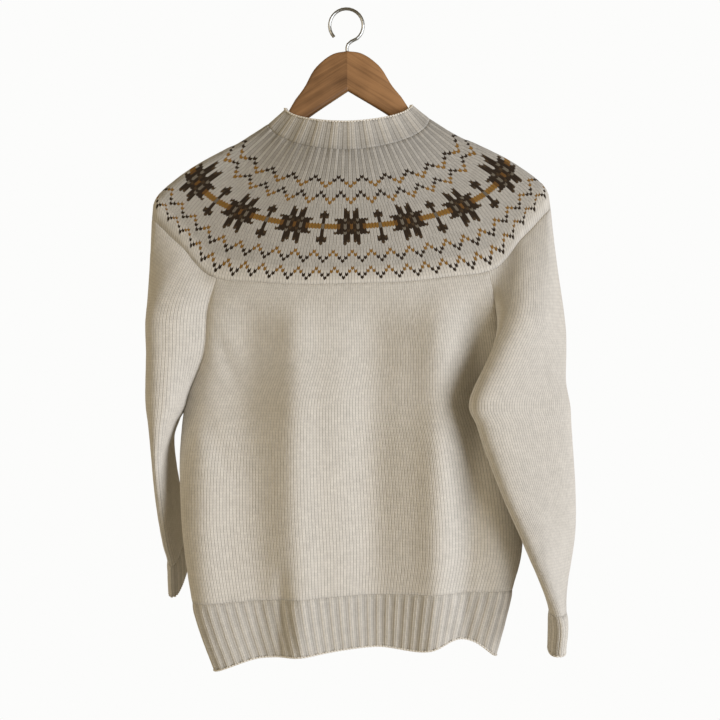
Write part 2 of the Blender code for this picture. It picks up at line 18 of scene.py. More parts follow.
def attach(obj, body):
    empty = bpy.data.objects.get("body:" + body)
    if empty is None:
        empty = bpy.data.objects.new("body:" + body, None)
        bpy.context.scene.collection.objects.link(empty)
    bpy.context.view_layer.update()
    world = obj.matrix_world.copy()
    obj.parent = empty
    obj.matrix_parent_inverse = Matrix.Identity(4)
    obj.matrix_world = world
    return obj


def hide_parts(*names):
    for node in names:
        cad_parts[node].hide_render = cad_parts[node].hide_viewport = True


bl_info = {
    "name": "Fair Isle Jumper",
    "version": (1, 0, 0),
    "blender": (4, 5, 0),
    "location": "View3D > Sidebar > Jumper",
    "description": "A knitted yoke jumper on a wooden hanger, stitch by stitch",
    "category": "Object",
}

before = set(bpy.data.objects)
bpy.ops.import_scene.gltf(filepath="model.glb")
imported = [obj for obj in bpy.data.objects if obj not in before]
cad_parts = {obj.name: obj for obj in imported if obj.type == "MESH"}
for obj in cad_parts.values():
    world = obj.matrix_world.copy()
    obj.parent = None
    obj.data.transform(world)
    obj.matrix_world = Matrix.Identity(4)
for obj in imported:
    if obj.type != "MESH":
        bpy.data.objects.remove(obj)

MM = 0.001
FRONT, BACK = -1, 1  # the ways out of the two sides, along Y
SIDES = {"front": FRONT, "back": BACK}
ARMS = {"left": -1, "right": 1}  # the ways out of the two arms, along X

# ---- sizes of the garment

RIDGE_RADIUS = 10.5
TILT = math.radians(1.5)
BODY_COLUMNS = 26
SLEEVE_COLUMNS = 18
FOLD_COLUMN = 3
HALF_ROUND = BODY_COLUMNS + SLEEVE_COLUMNS

Round = namedtuple("Round", "ridge_x ridge_z middle_z depth bow corner")
ROUNDS = [Round(*row) for row in (
    (70, -109, -130.5, 36, 1.85, 0),  # neck's edge
    (89, -125, -161, 39, 1.85, 0),  # neck's base
    (124, -146, -201.5, 41, 2.3, 0),  # first zigzag
    (139, -152.5, -219.5, 42, 2.3, 0),  # second zigzag
    (177, -172.5, -247.5, 43.5, 2, 0),  # stars
    (208, -195, -283.5, 46, 2, 0.5),  # third zigzag
    (219.5, -209, -301.5, 48, 2, 1),  # fourth zigzag
    (222.5, -227, -308, 49, 2, 1),  # yoke's edge
)]
BACK_RISE = 9
DEPTH_POWER = 2.2
RAGLAN_AT = 0.67
CORNER_SHARE = [0, 0.3, 0.5, 0.65, 0.72, 0.78, 0.83, 0.9, 0.97, 1]
CORNER_FALL = [1, 0.985, 0.93, 0.885, 0.81, 0.65, 0.47, 0.28, 0.08, 0]

BodySection = namedtuple("BodySection", "z left right front back edge power")
BODY = [BodySection(*row) for row in (
    (-335, -150.5, 165, 50, 44, 31, 1.9),
    (-385, -156, 174, 50, 43, 23, 1.7),
    (-436, -178, 180, 50, 42, 0, 1.6),
    (-490, -184.5, 190, 50, 43, 0, 2.6),
    (-556, -183, 195, 50, 43, 0, 3.6),
    (-604, -178.5, 195, 48, 42, 0, 4),
    (-652, -170, 185, 44, 39, 0, 4),
    (-690, -159, 176, 42, 38, 0, 4),
    (-722, -145, 166, 40, 37, 0, 4),
)]
UNDERARM = 3
HEM_TOP = 7
HEM_X = [-145, -100, -52, 0, 34, 93, 125, 142, 166]
HEM_EDGE = [-735, -719, -715, -708, -705.5, -708, -697.5, -701, -719]
HEM_TOP_X = [-175, -60, 30, 190]
HEM_TOP_Z = [-660, -652, -648, -645]

Fold = namedtuple("Fold", "chest_x hem_x width height")
FOLDS = {
    FRONT: [Fold(*row) for row in (
        (-162, -156, 22, 7),
        (-108, -90, 24, -7),
        (-54, -46, 20, 8),
        (32, 32, 34, -10),
        (102, 98, 20, 8),
        (147, 124, 20, -11),
    )],
    BACK: [Fold(*row) for row in (
        (-108, -100, 26, 7),
        (-58, -52, 24, -8),
        (6, 2, 34, 6),
        (66, 60, 22, -8),
        (118, 108, 26, 6),
    )],
}
# Creases finer than the main folds, on the front or back: ends, half width, and height.
Crease = namedtuple("Crease", "x0 z0 x1 z1 width height")
CREASES = {
    FRONT: [Crease(*row) for row in (
        (-70, -612, -71, -730, 8, -5),
        (-52, -640, -48, -725, 9, 3),
        (-148, -350, -120, -420, 9, -2.5),
        (-160, -440, -128, -520, 12, -2.5),
        (158, -600, 150, -710, 9, -3),
        (118, -640, 122, -715, 9, 3),
        (22, -310, 26, -690, 26, -5),
        (92, -330, 112, -690, 28, 6),
        (-124, -400, -124, -700, 22, -4),
        (-62, -400, -66, -700, 20, 3.5),
    )],
    BACK: [Crease(*row) for row in (
        (-132, -350, -112, -430, 10, -2.5),
        (140, -350, 118, -440, 10, -2.5),
        (40, -610, 42, -725, 9, -4),
        (-90, -630, -92, -725, 9, -3),
    )],
}
FOLD_FADE = 60
FOLD_CHEST = -430
SIDE_FADE = 8

SleeveSection = namedtuple("SleeveSection", "z x y long short turn lean start sweep")
SLEEVES = {
    "left": [SleeveSection(*row) for row in (
        (-335, -198, 6, 53, 23.5, 90, 0, 240, -300),
        (-385, -201, 9, 57, 21, 90, 0, 240, -306),
        (-436, -202, 12, 59.5, 21, 90, 0, 260, -360),
        (-462, -205.5, 18, 62, 14, 90, 6, 264, -360),
        (-490, -208.5, 28, 61, 8.5, 90, 14, 270, -360),
        (-530, -208, 48, 57, 8, 90, 26, 270, -360),
        (-575, -205, 78, 51, 7.5, 88, 33, 270, -360),
        (-606, -201, 98, 45, 7, 86, 33, 270, -360),
        (-648, -202, 125, 42, 7, 84, 33, 270, -360),
    )],
    "right": [SleeveSection(*row) for row in (
        (-335, 205, -14, 49, 29, 57, 0, 140, 315),
        (-385, 198, -24, 56.5, 29, 44, 0, 150, 305),
        (-436, 191, -38, 64, 23, 32, 0, 85, 360),
        (-462, 195.5, -41, 60.5, 21, 32, 0, 88, 360),
        (-490, 200.5, -44, 56, 20, 32, 0, 90, 360),
        (-540, 211.5, -46, 50, 16, 38, 0, 90, 360),
        (-590, 222, -44, 42, 14, 50, 0, 90, 360),
        (-665, 232, -36, 40, 9, 83, 0, 90, 360),
        (-708, 231, -36, 39, 8, 85, 0, 90, 360),
    )],
}
OVAL_POWER = 2.5
ROUND_POINTS, SECTION_POINTS, OVAL_POINTS = 801, 401, 721  # of lines that are read as curves
FRONT_PULL = {"left": 0.22, "right": 0.16}
BACK_PULL = {"left": 0.22, "right": 0.34}
PULL_POWER = 1.5
PULL_FADE = 7  # rows below the underarm over which the pull fades

# ---- stitches

ACROSS = 4  # points across a stitch: its two legs and the valleys beside them
ROW = 3.1  # height of a row of stitches

# Bands of the yoke from the neck down: stitches in the round, rows, the heights of the band's
# upper and lower edge at the centre of the front, and the chart that colours it.
Band = namedtuple("Band", "stitches rows upper lower chart")
BANDS = [Band(*row) for row in (
    (144, 9, -161, -190.3, None),  # plain under neck
    (144, 4, -190.3, -203.2, "upper_zigzag"),  # first zigzag
    (192, 1, -203.2, -206.8, None),  # plain between upper
    (192, 4, -206.8, -221.4, "upper_zigzag"),  # second zigzag
    (252, 1, -221.4, -225.9, None),  # plain above stars
    (252, 14, -225.9, -266.3, "star"),  # stars
    (288, 2, -266.3, -271.8, None),  # plain under stars
    (288, 4, -271.8, -285.4, "lower_zigzag"),  # third zigzag
    (324, 1, -285.4, -289.9, None),  # plain between lower
    (324, 4, -289.9, -303.5, "lower_zigzag"),  # fourth zigzag
    (324, 1, -303.5, -308, None),  # plain edge
)]
# Painted shade down the yoke, darker towards the neck: the share of the cream's brightness that is
# left, how far down, and the share there.
YOKE_DOWN, YOKE_PAINTED_SHADE = [0, 0.35, 0.86, 0.98], [0.65, 0.63, 0.68, 1]
NECK_PAINTED_SHADE, NECK_EDGE_PAINTED_SHADE = 0.86, 0.68  # the same painted shade in the neckband, in its top row and in its bottom row
# Painted shade: how much darker every second stitch under the neck is painted, where it lies deeper,
# and how fast that fades further down.
DEEPER_PAINTED_SHADE, DEEPER_FADE = 0.3, 2.5
PURL_PAINTED_SHADE = 0.82  # painted shade: the share of the brightness that is left in the purl stitches of a rib
FRONT_SHARE = 0.488  # share of a round's stitches that lie on the front

# Charts, top row first. c cream, d dark brown, t the browner tips, g gold, s grey, b gold brown.
# A zigzag repeats over 6 stitches and starts at its gold point; the star repeats over 18 and
# starts at the star's middle.
CHARTS = {
    "upper_zigzag": ["cccdcc", "ccdcdc", "cgcccg", "gccccc"],
    "lower_zigzag": ["gccccc", "cgcccg", "ccdcdc", "cccdcc"],
    "star": [
        "cctccccccccccccctc",
        "ctdcccccctccccccdt",
        "cddcccccdddcccccdd",
        "cddccccctdtcccccdd",
        "ddsddtcccdccctddsd",
        "dtdddccccdccccdddt",
        "bdsdbggggsggggbdsd",
        "bdsdbggggsggggbdsd",
        "dtdddccccdccccdddt",
        "ddsddtcccdccctddsd",
        "cddccccccdccccccdd",
        "cddccccctdtcccccdd",
        "ctdcccccdddcccccdt",
        "cctcccccctcccccctc",
    ],
}

# Stitches across each plain panel and sleeve; the ribs are two plain and two purl stitches wide.
PANEL_STITCHES = 120
SLEEVE_STITCHES = 81
RIB_STITCHES = 4
HEM_RIBS = 39  # ribs across the front or back
NECK_RIBS = 22
CUFF_RIBS = 18
RIB_HEIGHT = 1.2
RIB_FADE = 2.5  # rows over which the ribs rise out of the plain knit
RIBS_RUN_ON = 7  # rows over which the neckband's ribs fade into the yoke
# Height of a rib across its four stitches, as a share of its full height.
RIB_PROFILE = [
    0, 0.35, 0.9, 1, 0.93, 0.86, 0.93, 1, 0.9, 0.35, 0, 0, 0.04, 0, 0.04, 0,
]

# Rows of stitches between one section and the next, from the yoke's edge down.
PANEL_ROWS = [9, 16, 16, 18, 21, 15, 16]
HEM_ROWS = [12, 12]
SLEEVE_ROWS = {
    "left": [24, 16, 17, 9, 11, 15, 17, 12],
    "right": [24, 16, 17, 9, 9, 17, 17, 24],
}
CUFF_ROWS = [15]
NECK_ROWS = 10
LAP = 0.4  # how far a piece's last row laps over the next piece
INNER_EVERY = 8  # points of the outside for each point of the plain inside
SLEEVE_INNER_EVERY = 6  # the same in a sleeve or cuff
YOKE_INNER_ROWS, YOKE_INNER_COLUMNS = 9, 88
# How round a stitch looks, and how much of its light and shade comes from its row, the legs of
# its V and its wale.
ROUNDNESS = 0.4
ROW_SHARE, LEG_SHARE, WALE_SHARE = 0.18, 0.34, 0.48
CHAIN_LENGTH, CHAIN_WIDTH = 3.4, 2.2  # a cast off stitch and its yarn
CHAIN_OUT = 0.6  # how far the chain stands in front of the cloth
# Points of the line that a chain follows: along the neck or hem, and for a column of a cuff.
CHAIN_POINTS, CUFF_CHAIN_POINTS = 240, 8
# Each cast off stitch is two strands: their length as a share of the stitch's, how far they lie
# off its middle as a share of the yarn's width, and how far they turn.
STRAND_LENGTH, STRAND_OFF, STRAND_TURN = 1.3, 0.36, math.radians(24)

# ---- hanger, in its leaning frame

ARM_THICKNESS = 12
ARM_ROUNDING = 4
ARM_UNDER_CLOTH = 3.9
ARM_FALL = 0.62  # how far an arm falls for its length, which its grain follows
JOINT = 0.01  # half the gap between the two arms, where they are glued
BELL_POINTS, SHOULDER_POINTS, UNDERSIDE_POINTS = 20, 36, 40
BELL_X = [0, 16, 28, 39, 48, 59.5]
BELL_TOP = [-46, -49, -56.6, -68, -84, -99]
SHOULDER_X = [70, 89, 124, 139, 177, 208]
SHOULDER_Z = [-109, -125, -146, -152.5, -172.5, -195]
UNDERSIDE_X = [0, 45, 67, 100, 150, 206]
UNDERSIDE_Z = [-90.5, -119.3, -135, -154, -180, -211]

# ---- stage, in metres

CENTRE_X, CENTRE_Z = 0.0157, -0.3915
FLOOR_HEIGHT, FLOOR_RADIUS = -1.3, 1.9
# Name, place, size and colour of each light.
LIGHTS = [
    ("window_light", (3.8, -3.2, -0.5), 3.4, "#F1F5FF"),
    ("fill_light", (-3.0, -3.0, 0.4), 2.4, "#FAEDD6"),
]


# ---- curves and surfaces


def through(at, knots, values):
    """Read a smooth curve through the values at the knots."""
    at = np.asarray(at, float)
    knots = np.asarray(knots, float)
    values = np.asarray(values, float)
    slopes = np.gradient(values, knots, axis=0)
    i = np.clip(np.searchsorted(knots, at) - 1, 0, len(knots) - 2)
    shape = at.shape + (1,) * (values.ndim - 1)
    span = (knots[i + 1] - knots[i]).reshape(shape)
    t = (at - knots[i]).reshape(shape) / span
    start = (2 * t**3 - 3 * t**2 + 1) * values[i] + (t**3 - 2 * t**2 + t) * span * slopes[i]
    end = (3 * t**2 - 2 * t**3) * values[i + 1] + (t**3 - t**2) * span * slopes[i + 1]
    return start + end


def lengths(line):
    """Distance along a line of points, from its first."""
    steps = np.linalg.norm(np.diff(line, axis=0), axis=1)
    return np.concatenate([[0.0], np.cumsum(steps)])


def read_along(line, distances):
    """The points of a line at these distances from its start."""
    along = lengths(line)
    return np.stack([np.interp(distances, along, line[:, k]) for k in range(3)], axis=1)


def spread(line, columns):
    """The line as evenly spaced points, one more than the columns."""
    return read_along(line, np.linspace(0.0, lengths(line)[-1], columns + 1))


def leaning(points):
    """Turn points about the hook by the hanger's lean."""
    x, y, z = points[..., 0], points[..., 1], points[..., 2]
    cos, sin = math.cos(TILT), math.sin(TILT)
    return np.stack([x * cos - z * sin, y, x * sin + z * cos], axis=-1)


def half_round_line(row, side):
    """Half a round of the yoke as a fine line, from the left ridge to the right one."""
    share = np.sin(np.linspace(-math.pi / 2, math.pi / 2, ROUND_POINTS))
    size = np.abs(share)
    plain = (1 - size**row.bow) ** (1 / row.bow)
    cornered = through(size, CORNER_SHARE, CORNER_FALL)
    fall = (1 - row.corner) * plain + row.corner * cornered
    rise = BACK_RISE if side == BACK else 0
    x = row.ridge_x * share
    z = row.ridge_z + (row.middle_z + rise - row.ridge_z) * fall
    flat = lengths(np.stack([x, 0 * x, z], axis=1))
    from_ridge = np.minimum(flat, flat[-1] - flat)
    nose = RIDGE_RADIUS * np.sqrt(1 - (1 - np.minimum(from_ridge / RIDGE_RADIUS, 1)) ** 2)
    y = side * (nose + (row.depth - RIDGE_RADIUS) * (1 - size**DEPTH_POWER))
    return np.stack([x, y, z], axis=1)


def raglan_share():
    """Share of the yoke's edge that lies between the ridge and the raglan line."""
    line = half_round_line(ROUNDS[-1], FRONT)
    along = lengths(line)
    return np.interp(-RAGLAN_AT * ROUNDS[-1].ridge_x, line[:, 0], along) / along[-1]


def edge_columns(length):
    """Distances along half the yoke's edge at the seams' columns, close over the ridge."""
    ridge = min(RIDGE_RADIUS * math.pi / 2, 2 * length / HALF_ROUND)
    shoulder = np.concatenate([
        [0.0, ridge / 2],
        np.linspace(ridge, raglan_share() * length, SLEEVE_COLUMNS // 2 - 1),
    ])
    front = np.linspace(shoulder[-1], length - shoulder[-1], BODY_COLUMNS + 1)
    return np.concatenate([shoulder[:-1], front, length - shoulder[-2::-1]])


def edge_points(side, first, last, count):
    """Points of the yoke's edge from one column to another, in even shares of a column."""
    line = half_round_line(ROUNDS[-1], side)
    columns = edge_columns(lengths(line)[-1])
    at = np.interp(np.linspace(first, last, count + 1), np.arange(len(columns)), columns)
    return leaning(read_along(line, at))


class YokeSurface:
    """The round yoke: a place for each share of the way round and height at the front."""

    SAMPLES = 400

    def __init__(self, rounds):
        """Read the rounds; the yoke's edge takes its columns straight down from the one above."""
        self.rounds = rounds
        self.halves = {
            side: np.array([spread(half_round_line(row, side), self.SAMPLES) for row in rounds])
            for side in SIDES.values()
        }
        if rounds[-1] is ROUNDS[-1]:
            for side, lines in self.halves.items():
                edge = half_round_line(rounds[-1], side)
                x = lines[-2, :, 0] * rounds[-1].ridge_x / rounds[-2].ridge_x
                lines[-1] = np.stack([np.interp(x, edge[:, 0], edge[:, k]) for k in range(3)], 1)
        fine = np.linspace(0, len(rounds) - 1, self.SAMPLES)
        heights = through(fine, np.arange(len(rounds)), [row.middle_z for row in rounds])
        self.fine, self.heights = fine[::-1], heights[::-1]

    def points(self, height, shares):
        """A row of places at these shares of the way round, from the front's middle."""
        shares = np.mod(shares, 1.0)
        right = FRONT_SHARE / 2
        left = 1 - right
        on_back = (shares > right) & (shares < left)
        across = np.where(
            on_back,
            1 - (shares - right) / (left - right),
            np.where(shares <= right, 0.5 + shares / FRONT_SHARE, (shares - left) / FRONT_SHARE),
        ) * self.SAMPLES
        low = np.clip(np.floor(across).astype(int), 0, self.SAMPLES - 1)
        part = (across - low)[None, :, None]
        t = np.interp(height, self.heights, self.fine)
        rows = {}
        for side, lines in self.halves.items():
            read = lines[:, low] * (1 - part) + lines[:, low + 1] * part
            rows[side] = through([t], np.arange(len(self.rounds)), read)[0]
        return leaning(np.where(on_back[:, None], rows[BACK], rows[FRONT]))


def fold_depth(points, folds):
    """How far the folds move each point out, from nothing in the first row."""
    x, z = points[..., 0], points[..., 2]
    down = np.clip((z[:1] - z) / FOLD_FADE, 0, 1)
    hem_share = np.clip((FOLD_CHEST - z) / (FOLD_CHEST - BODY[-1].z), 0, 1)
    depth = np.zeros_like(x)
    for fold in folds:
        middle = fold.chest_x + (fold.hem_x - fold.chest_x) * hem_share
        depth += fold.height * np.exp(-(((x - middle) / fold.width) ** 2))
    return depth * down * down * (3 - 2 * down)


def crease_depth(points, creases):
    """How far the creases move each point out: a soft trough or ridge along a short line."""
    depth = np.zeros(points.shape[:-1])
    for crease in creases:
        start = np.array([crease.x0, crease.z0])
        way = np.array([crease.x1, crease.z1]) - start
        away = points[..., [0, 2]] - start
        along = (away @ way) / (way @ way)
        off = np.abs(away[..., 0] * way[1] - away[..., 1] * way[0]) / np.linalg.norm(way)
        taper = np.clip(1 - (2 * along - 1) ** 2, 0, 1)
        depth += crease.height * np.exp(-((off / crease.width) ** 2)) * taper
    return depth


def body_section(section, side, columns):
    """Front or back half of a level section, from its left edge to its right one."""
    share = np.sin(np.linspace(-math.pi / 2, math.pi / 2, SECTION_POINTS))
    middle = (section.left + section.right) / 2
    x = middle + (section.right - section.left) / 2 * share
    deep = section.front if side == FRONT else section.back
    curve = (1 - np.abs(share) ** section.power) ** (1 / section.power)
    y = side * (section.edge + (deep - section.edge) * curve)
    return spread(np.stack([x, y, np.full_like(x, section.z)], axis=1), columns)


def loft(sections, steps):
    """Rows of points through the sections, with this many steps between each two."""
    at = [0.0]
    for k, count in enumerate(steps):
        at += [k + (j + 1) / count for j in range(count)]
    return through(at, np.arange(len(sections)), np.array(sections))


def body_rows(side, columns, steps, creases=True):
    """The front or back, from the yoke's edge to the hem's edge, with folds and creases."""
    first = SLEEVE_COLUMNS // 2
    top = edge_points(side, first, first + BODY_COLUMNS, columns)
    sections = [top] + [body_section(section, side, columns) for section in BODY]
    hem_x = sections[HEM_TOP][:, 0]
    sections[HEM_TOP][:, 2] = through(hem_x, HEM_TOP_X, HEM_TOP_Z)
    edge_x = np.clip(sections[-1][:, 0], HEM_X[0], HEM_X[-1])
    sections[-1][:, 2] = through(edge_x, HEM_X, HEM_EDGE)
    sections[-2][:, 2] = (sections[-1][:, 2] + sections[HEM_TOP][:, 2]) / 2
    rows = loft(sections, steps)
    depth = fold_depth(rows, FOLDS[side])
    if creases:
        depth += crease_depth(rows, CREASES[side])
    across = np.linspace(-1, 1, columns + 1)
    rows[..., 1] += side * depth * (1 - across**SIDE_FADE)
    return rows


def blunt(wave):
    """A sine or cosine drawn out, which makes an oval's ends blunter."""
    return np.sign(wave) * np.abs(wave) ** (2 / OVAL_POWER)


def sleeve_section(section, each):
    """The part of an oval that the sleeve's wall follows, from its start the way it goes."""
    turn = math.radians(section.turn)
    lean = math.radians(section.lean)
    lines = []
    for first, last in ((section.start, 180.0), (180.0, section.start + section.sweep)):
        t = np.radians(np.linspace(first, last, OVAL_POINTS))
        long_way = section.long * blunt(np.cos(t))
        short_way = section.short * blunt(np.sin(t))
        x = section.x + long_way * math.cos(turn) - short_way * math.sin(turn)
        deep = long_way * math.sin(turn) + short_way * math.cos(turn)
        y = section.y + deep * math.cos(lean)
        z = section.z + deep * math.sin(lean)
        lines.append(np.stack([x, y, z], axis=1))
    under = spread(lines[0], FOLD_COLUMN * each)
    over = spread(lines[1], (SLEEVE_COLUMNS - FOLD_COLUMN) * each)
    return np.concatenate([under, over[1:]])


def sleeve_rows(name, each, steps):
    """A sleeve from the yoke's edge to its cuff's edge, drawn in to both raglan lines."""
    half = SLEEVE_COLUMNS // 2
    raglan, ridge, edge = (half, 0, 0) if name == "left" else (half + BODY_COLUMNS, HALF_ROUND, -1)
    front = edge_points(FRONT, raglan, ridge, half * each)
    back = edge_points(BACK, ridge, raglan, half * each)
    top = np.concatenate([front, back[1:]])
    rows = loft([top] + [sleeve_section(section, each) for section in SLEEVES[name]], steps)
    round_way = np.linspace(0, 1, SLEEVE_COLUMNS * each + 1)[:, None]
    near_front = np.clip(1 - round_way / FRONT_PULL[name], 0, 1) ** PULL_POWER
    near_back = np.clip(1 - (1 - round_way) / BACK_PULL[name], 0, 1) ** PULL_POWER
    body_steps = steps[:UNDERARM] + [1] * (len(BODY) - UNDERARM)
    seam_front, seam_back = (
        body_rows(side, BODY_COLUMNS, body_steps, False)[:, edge] for side in (FRONT, BACK))
    joined = sum(steps[:UNDERARM]) + 1
    for j in range(joined + PULL_FADE):
        if j < joined:
            to_front = seam_front[j] - rows[j, 0]
            to_back = seam_back[j] - rows[j, -1]
        left = min(1.0, 1 - (j - joined + 1) / (PULL_FADE + 1))
        rows[j] += (near_front * to_front + near_back * to_back) * left
    rows[joined:, 0] = rows[joined:, -1] = (rows[joined:, 0] + rows[joined:, -1]) / 2
    return rows


def outward_normals(rows, outward, closed):
    """Unit normals of a grid of points, from its rows downwards and its columns across."""
    down = np.gradient(rows, axis=0)
    if closed:
        across = (np.roll(rows, -1, axis=1) - np.roll(rows, 1, axis=1)) / 2
    else:
        across = np.gradient(rows, axis=1)
    normals = -outward * np.cross(down, across)
    return normals / np.maximum(np.linalg.norm(normals, axis=-1, keepdims=True), 1e-9)


# ---- fabric meshes


class Fabric:
    """Collects the knitted outside and plain inside of one piece as a single closed mesh."""

    def __init__(self, outward=FRONT):
        self.outward = outward
        self.points, self.away, self.wale, self.stitch, self.weight = [], [], [], [], []
        self.count = 0
        self.faces, self.uvs, self.yarns, self.flat = [], [], [], []

    def add_points(self, rows, away, wale, stitch, weight):
        """Add a grid of points; returns their numbers."""
        shape = rows.shape[:2]
        self.points.append(rows.reshape(-1, 3))
        self.away.append(away.reshape(-1, 3))
        self.wale.append(wale.reshape(-1, 3))
        self.stitch.append(np.broadcast_to(stitch, shape).reshape(-1))
        self.weight.append(np.broadcast_to(weight, shape).reshape(-1))
        self.count += rows.size // 3
        return np.arange(self.count - rows.size // 3, self.count).reshape(shape)

    def add_faces(self, corners, uv, yarn):
        """Add faces as rows of point numbers, turned to face outwards."""
        if self.outward > 0:
            corners, uv = corners[:, ::-1], uv[:, ::-1]
        self.faces += corners.tolist()
        self.uvs.append(uv.reshape(-1, 2))
        self.yarns.append(np.repeat(yarn, corners.shape[1], axis=0))

    def add_strip(self, ids, ends, step, row, closed, inner=False):
        """Add the faces between two rows of points, with a yarn for each point of a row.

        The ends are the rows' places down the stitch map and the step is between its columns.
        """
        i = np.arange(ids.shape[1] - (not closed))
        n = (i + 1) % ids.shape[1]
        corners = np.stack([ids[0, i], ids[1, i], ids[1, n], ids[0, n]], axis=1)
        uv = np.empty((len(i), 4, 2))
        uv[..., 0] = (i[:, None] + [0, 0, 1, 1]) * step
        uv[..., 1] = [-ends[0], -ends[1], -ends[1], -ends[0]]
        turn = -1 if inner else 1
        self.add_faces(corners[:, ::turn], uv[:, ::turn], row[i])

    def knit(self, rows, away, first_row, yarns, closed, level=(True, True)):
        """Add the stitch grid of the outside, with a colour for each row and stitch.

        A level first or last line lies at the middle of the relief all along, and in the middle
        of a row of the stitch map, so that it meets the next piece. The last one laps over it.
        """
        height, width = rows.shape[0] - 1, rows.shape[1]
        stitch = np.arange(width) / ACROSS
        rows = rows.copy()
        for line in [k for k, flat in zip((0, -1), level) if flat]:
            rows[line] += away[line] * cloth().relief / 2 / MM
        if level[1]:
            fall = rows[-1] - rows[-2]
            fall /= np.linalg.norm(fall, axis=-1, keepdims=True)
            rows[-1] += LAP * (fall + away[-1] / 2)
        weight = np.ones((height + 1, 1))
        weight[0] -= level[0]
        weight[-1] -= level[1]
        ids = self.add_points(rows, away, -np.gradient(rows, axis=0), stitch, weight)
        for j in range(height):
            top = first_row + j + (0.5 if level[0] and j == 0 else 0)
            low = first_row + j + (0.5 if level[1] and j == height - 1 else 1)
            row = yarns[j][stitch.astype(int) % len(yarns[j])]
            self.add_strip(ids[j:j + 2], (top, low), 1 / ACROSS, row, closed)
        return ids

    def inside(self, rows, away, every, closed):
        """Add the plain inside, a wall's thickness in; returns its point numbers."""
        pick_rows = sorted(set(range(0, rows.shape[0], every)) | {rows.shape[0] - 1})
        pick_columns = list(range(0, rows.shape[1], every))
        if not closed and pick_columns[-1] != rows.shape[1] - 1:
            pick_columns.append(rows.shape[1] - 1)
        grid = np.ix_(pick_rows, pick_columns)
        places = rows[grid] - away[grid] * cloth().thickness / MM
        ids = self.add_points(places, away[grid], away[grid] * 0, 0.0, 0.0)
        row = np.tile(yarn_colours()["c"], (len(pick_columns), 1))
        for j in range(len(pick_rows) - 1):
            self.add_strip(
                ids[j:j + 2], pick_rows[j:j + 2], every / ACROSS, row, closed, inner=True)
        return ids

    def join(self, fine, coarse, yarn, closed=False, rows=(0, 0), rim=False):
        """Fill between two lines of points that start together, whatever their counts."""
        if closed:
            fine = np.append(fine, fine[0])
            coarse = np.append(coarse, coarse[0])
        a = b = 0
        corners, uv = [], []
        last_a, last_b = len(fine) - 1, len(coarse) - 1
        along = last_b / last_a / ACROSS
        while a < last_a or b < last_b:
            corner = [fine[a], coarse[b]]
            place = [(a * along, -rows[0]), (b / ACROSS, -rows[1])]
            if b == last_b or (a < last_a and (a + 1) * last_b <= (b + 1) * last_a):
                a += 1
                corners.append(corner + [fine[a]])
                uv.append(place + [(a * along, -rows[0])])
            else:
                b += 1
                corners.append(corner + [coarse[b]])
                uv.append(place + [(b / ACROSS, -rows[1])])
        if rim:
            self.flat += range(len(self.faces), len(self.faces) + len(corners))
        self.add_faces(
            np.array(corners), np.array(uv), np.broadcast_to(yarn, (len(corners), 4)))

    def close_rims(self, outer, inner, closed):
        """Close the wall at its upper and lower edge and, if it is open, at its sides."""
        cream = yarn_colours()["c"]
        self.join(inner[0], outer[0], cream, closed, rim=True)
        self.join(outer[-1], inner[-1], cream, closed, rim=True)
        if not closed:
            self.join(outer[:, 0], inner[:, 0], cream, rim=True)
            self.join(inner[:, -1], outer[:, -1], cream, rim=True)

    def mesh(self, name):
        """The finished mesh in metres, with the attributes that the knit reads."""
        mesh = bpy.data.meshes.new(name)
        mesh.from_pydata(np.concatenate(self.points) * MM, [], self.faces)
        for label, values, size in (("away", self.away, 1.0), ("wale", self.wale, MM)):
            layer = mesh.attributes.new(label, "FLOAT_VECTOR", "POINT")
            layer.data.foreach_set("vector", (np.concatenate(values) * size).ravel())
        for label, values in (("stitch", self.stitch), ("knit", self.weight)):
            layer = mesh.attributes.new(label, "FLOAT", "POINT")
            layer.data.foreach_set("value", np.concatenate(values).ravel())
        uv = mesh.uv_layers.new(name="stitches")
        uv.data.foreach_set("uv", np.concatenate(self.uvs).ravel())
        yarn = mesh.color_attributes.new("yarn", "FLOAT_COLOR", "CORNER")
        yarn.data.foreach_set("color", np.concatenate(self.yarns).ravel())
        mesh.shade_smooth()
        for face in self.flat:
            mesh.polygons[face].use_smooth = False
        return mesh


# ---- settings


def linear(colour):
    """A hex colour as linear red, green and blue."""
    parts = [int(colour[k:k + 2], 16) / 255 for k in (1, 3, 5)]
    return tuple(c / 12.92 if c <= 0.04045 else ((c + 0.055) / 1.055) ** 2.4 for c in parts)


def opaque(colour):
    """A hex colour as linear red, green and blue, with nothing showing through."""
    return (*linear(colour), 1.0)


def yarn_property(name, colour):
    """A colour setting for one of the yarns."""
    return FloatVectorProperty(
        name=name, description=f"Colour of the {name.lower()}", subtype="COLOR", size=3,
        min=0.0, max=1.0, default=linear(colour))


class JumperYarns(bpy.types.PropertyGroup):
    """Colours of the yarns in the yoke and the body."""

    cream: yarn_property("Undyed cream yarn", "#D7D2C8")
    brown: yarn_property("Dark brown yarn", "#2E2214")
    tip: yarn_property("Brown yarn at the star's tips", "#443522")
    ochre: yarn_property("Ochre yarn", "#86632C")
    grey: yarn_property("Grey yarn", "#6E6659")
    golden: yarn_property("Golden brown yarn", "#6A4A22")


class JumperCloth(bpy.types.PropertyGroup):
    """Sizes of the knitted cloth."""

    thickness: FloatProperty(
        name="Thickness", description="Thickness of the knitted cloth",
        default=0.0022, min=0.001, max=0.003, unit="LENGTH")
    relief: FloatProperty(
        name="Stitch relief", description="How far a stitch's legs stand out of the cloth",
        default=0.0007, min=0.0, max=0.0012, unit="LENGTH")
    slant: FloatProperty(
        name="Stitch slant", description="Rise of a stitch's legs, as a share of a row",
        default=0.5, min=0.0, max=1.5)
    unevenness: FloatProperty(
        name="Unevenness", description="How far the hand of the cloth wanders in and out",
        default=0.0005, min=0.0, max=0.001, unit="LENGTH")


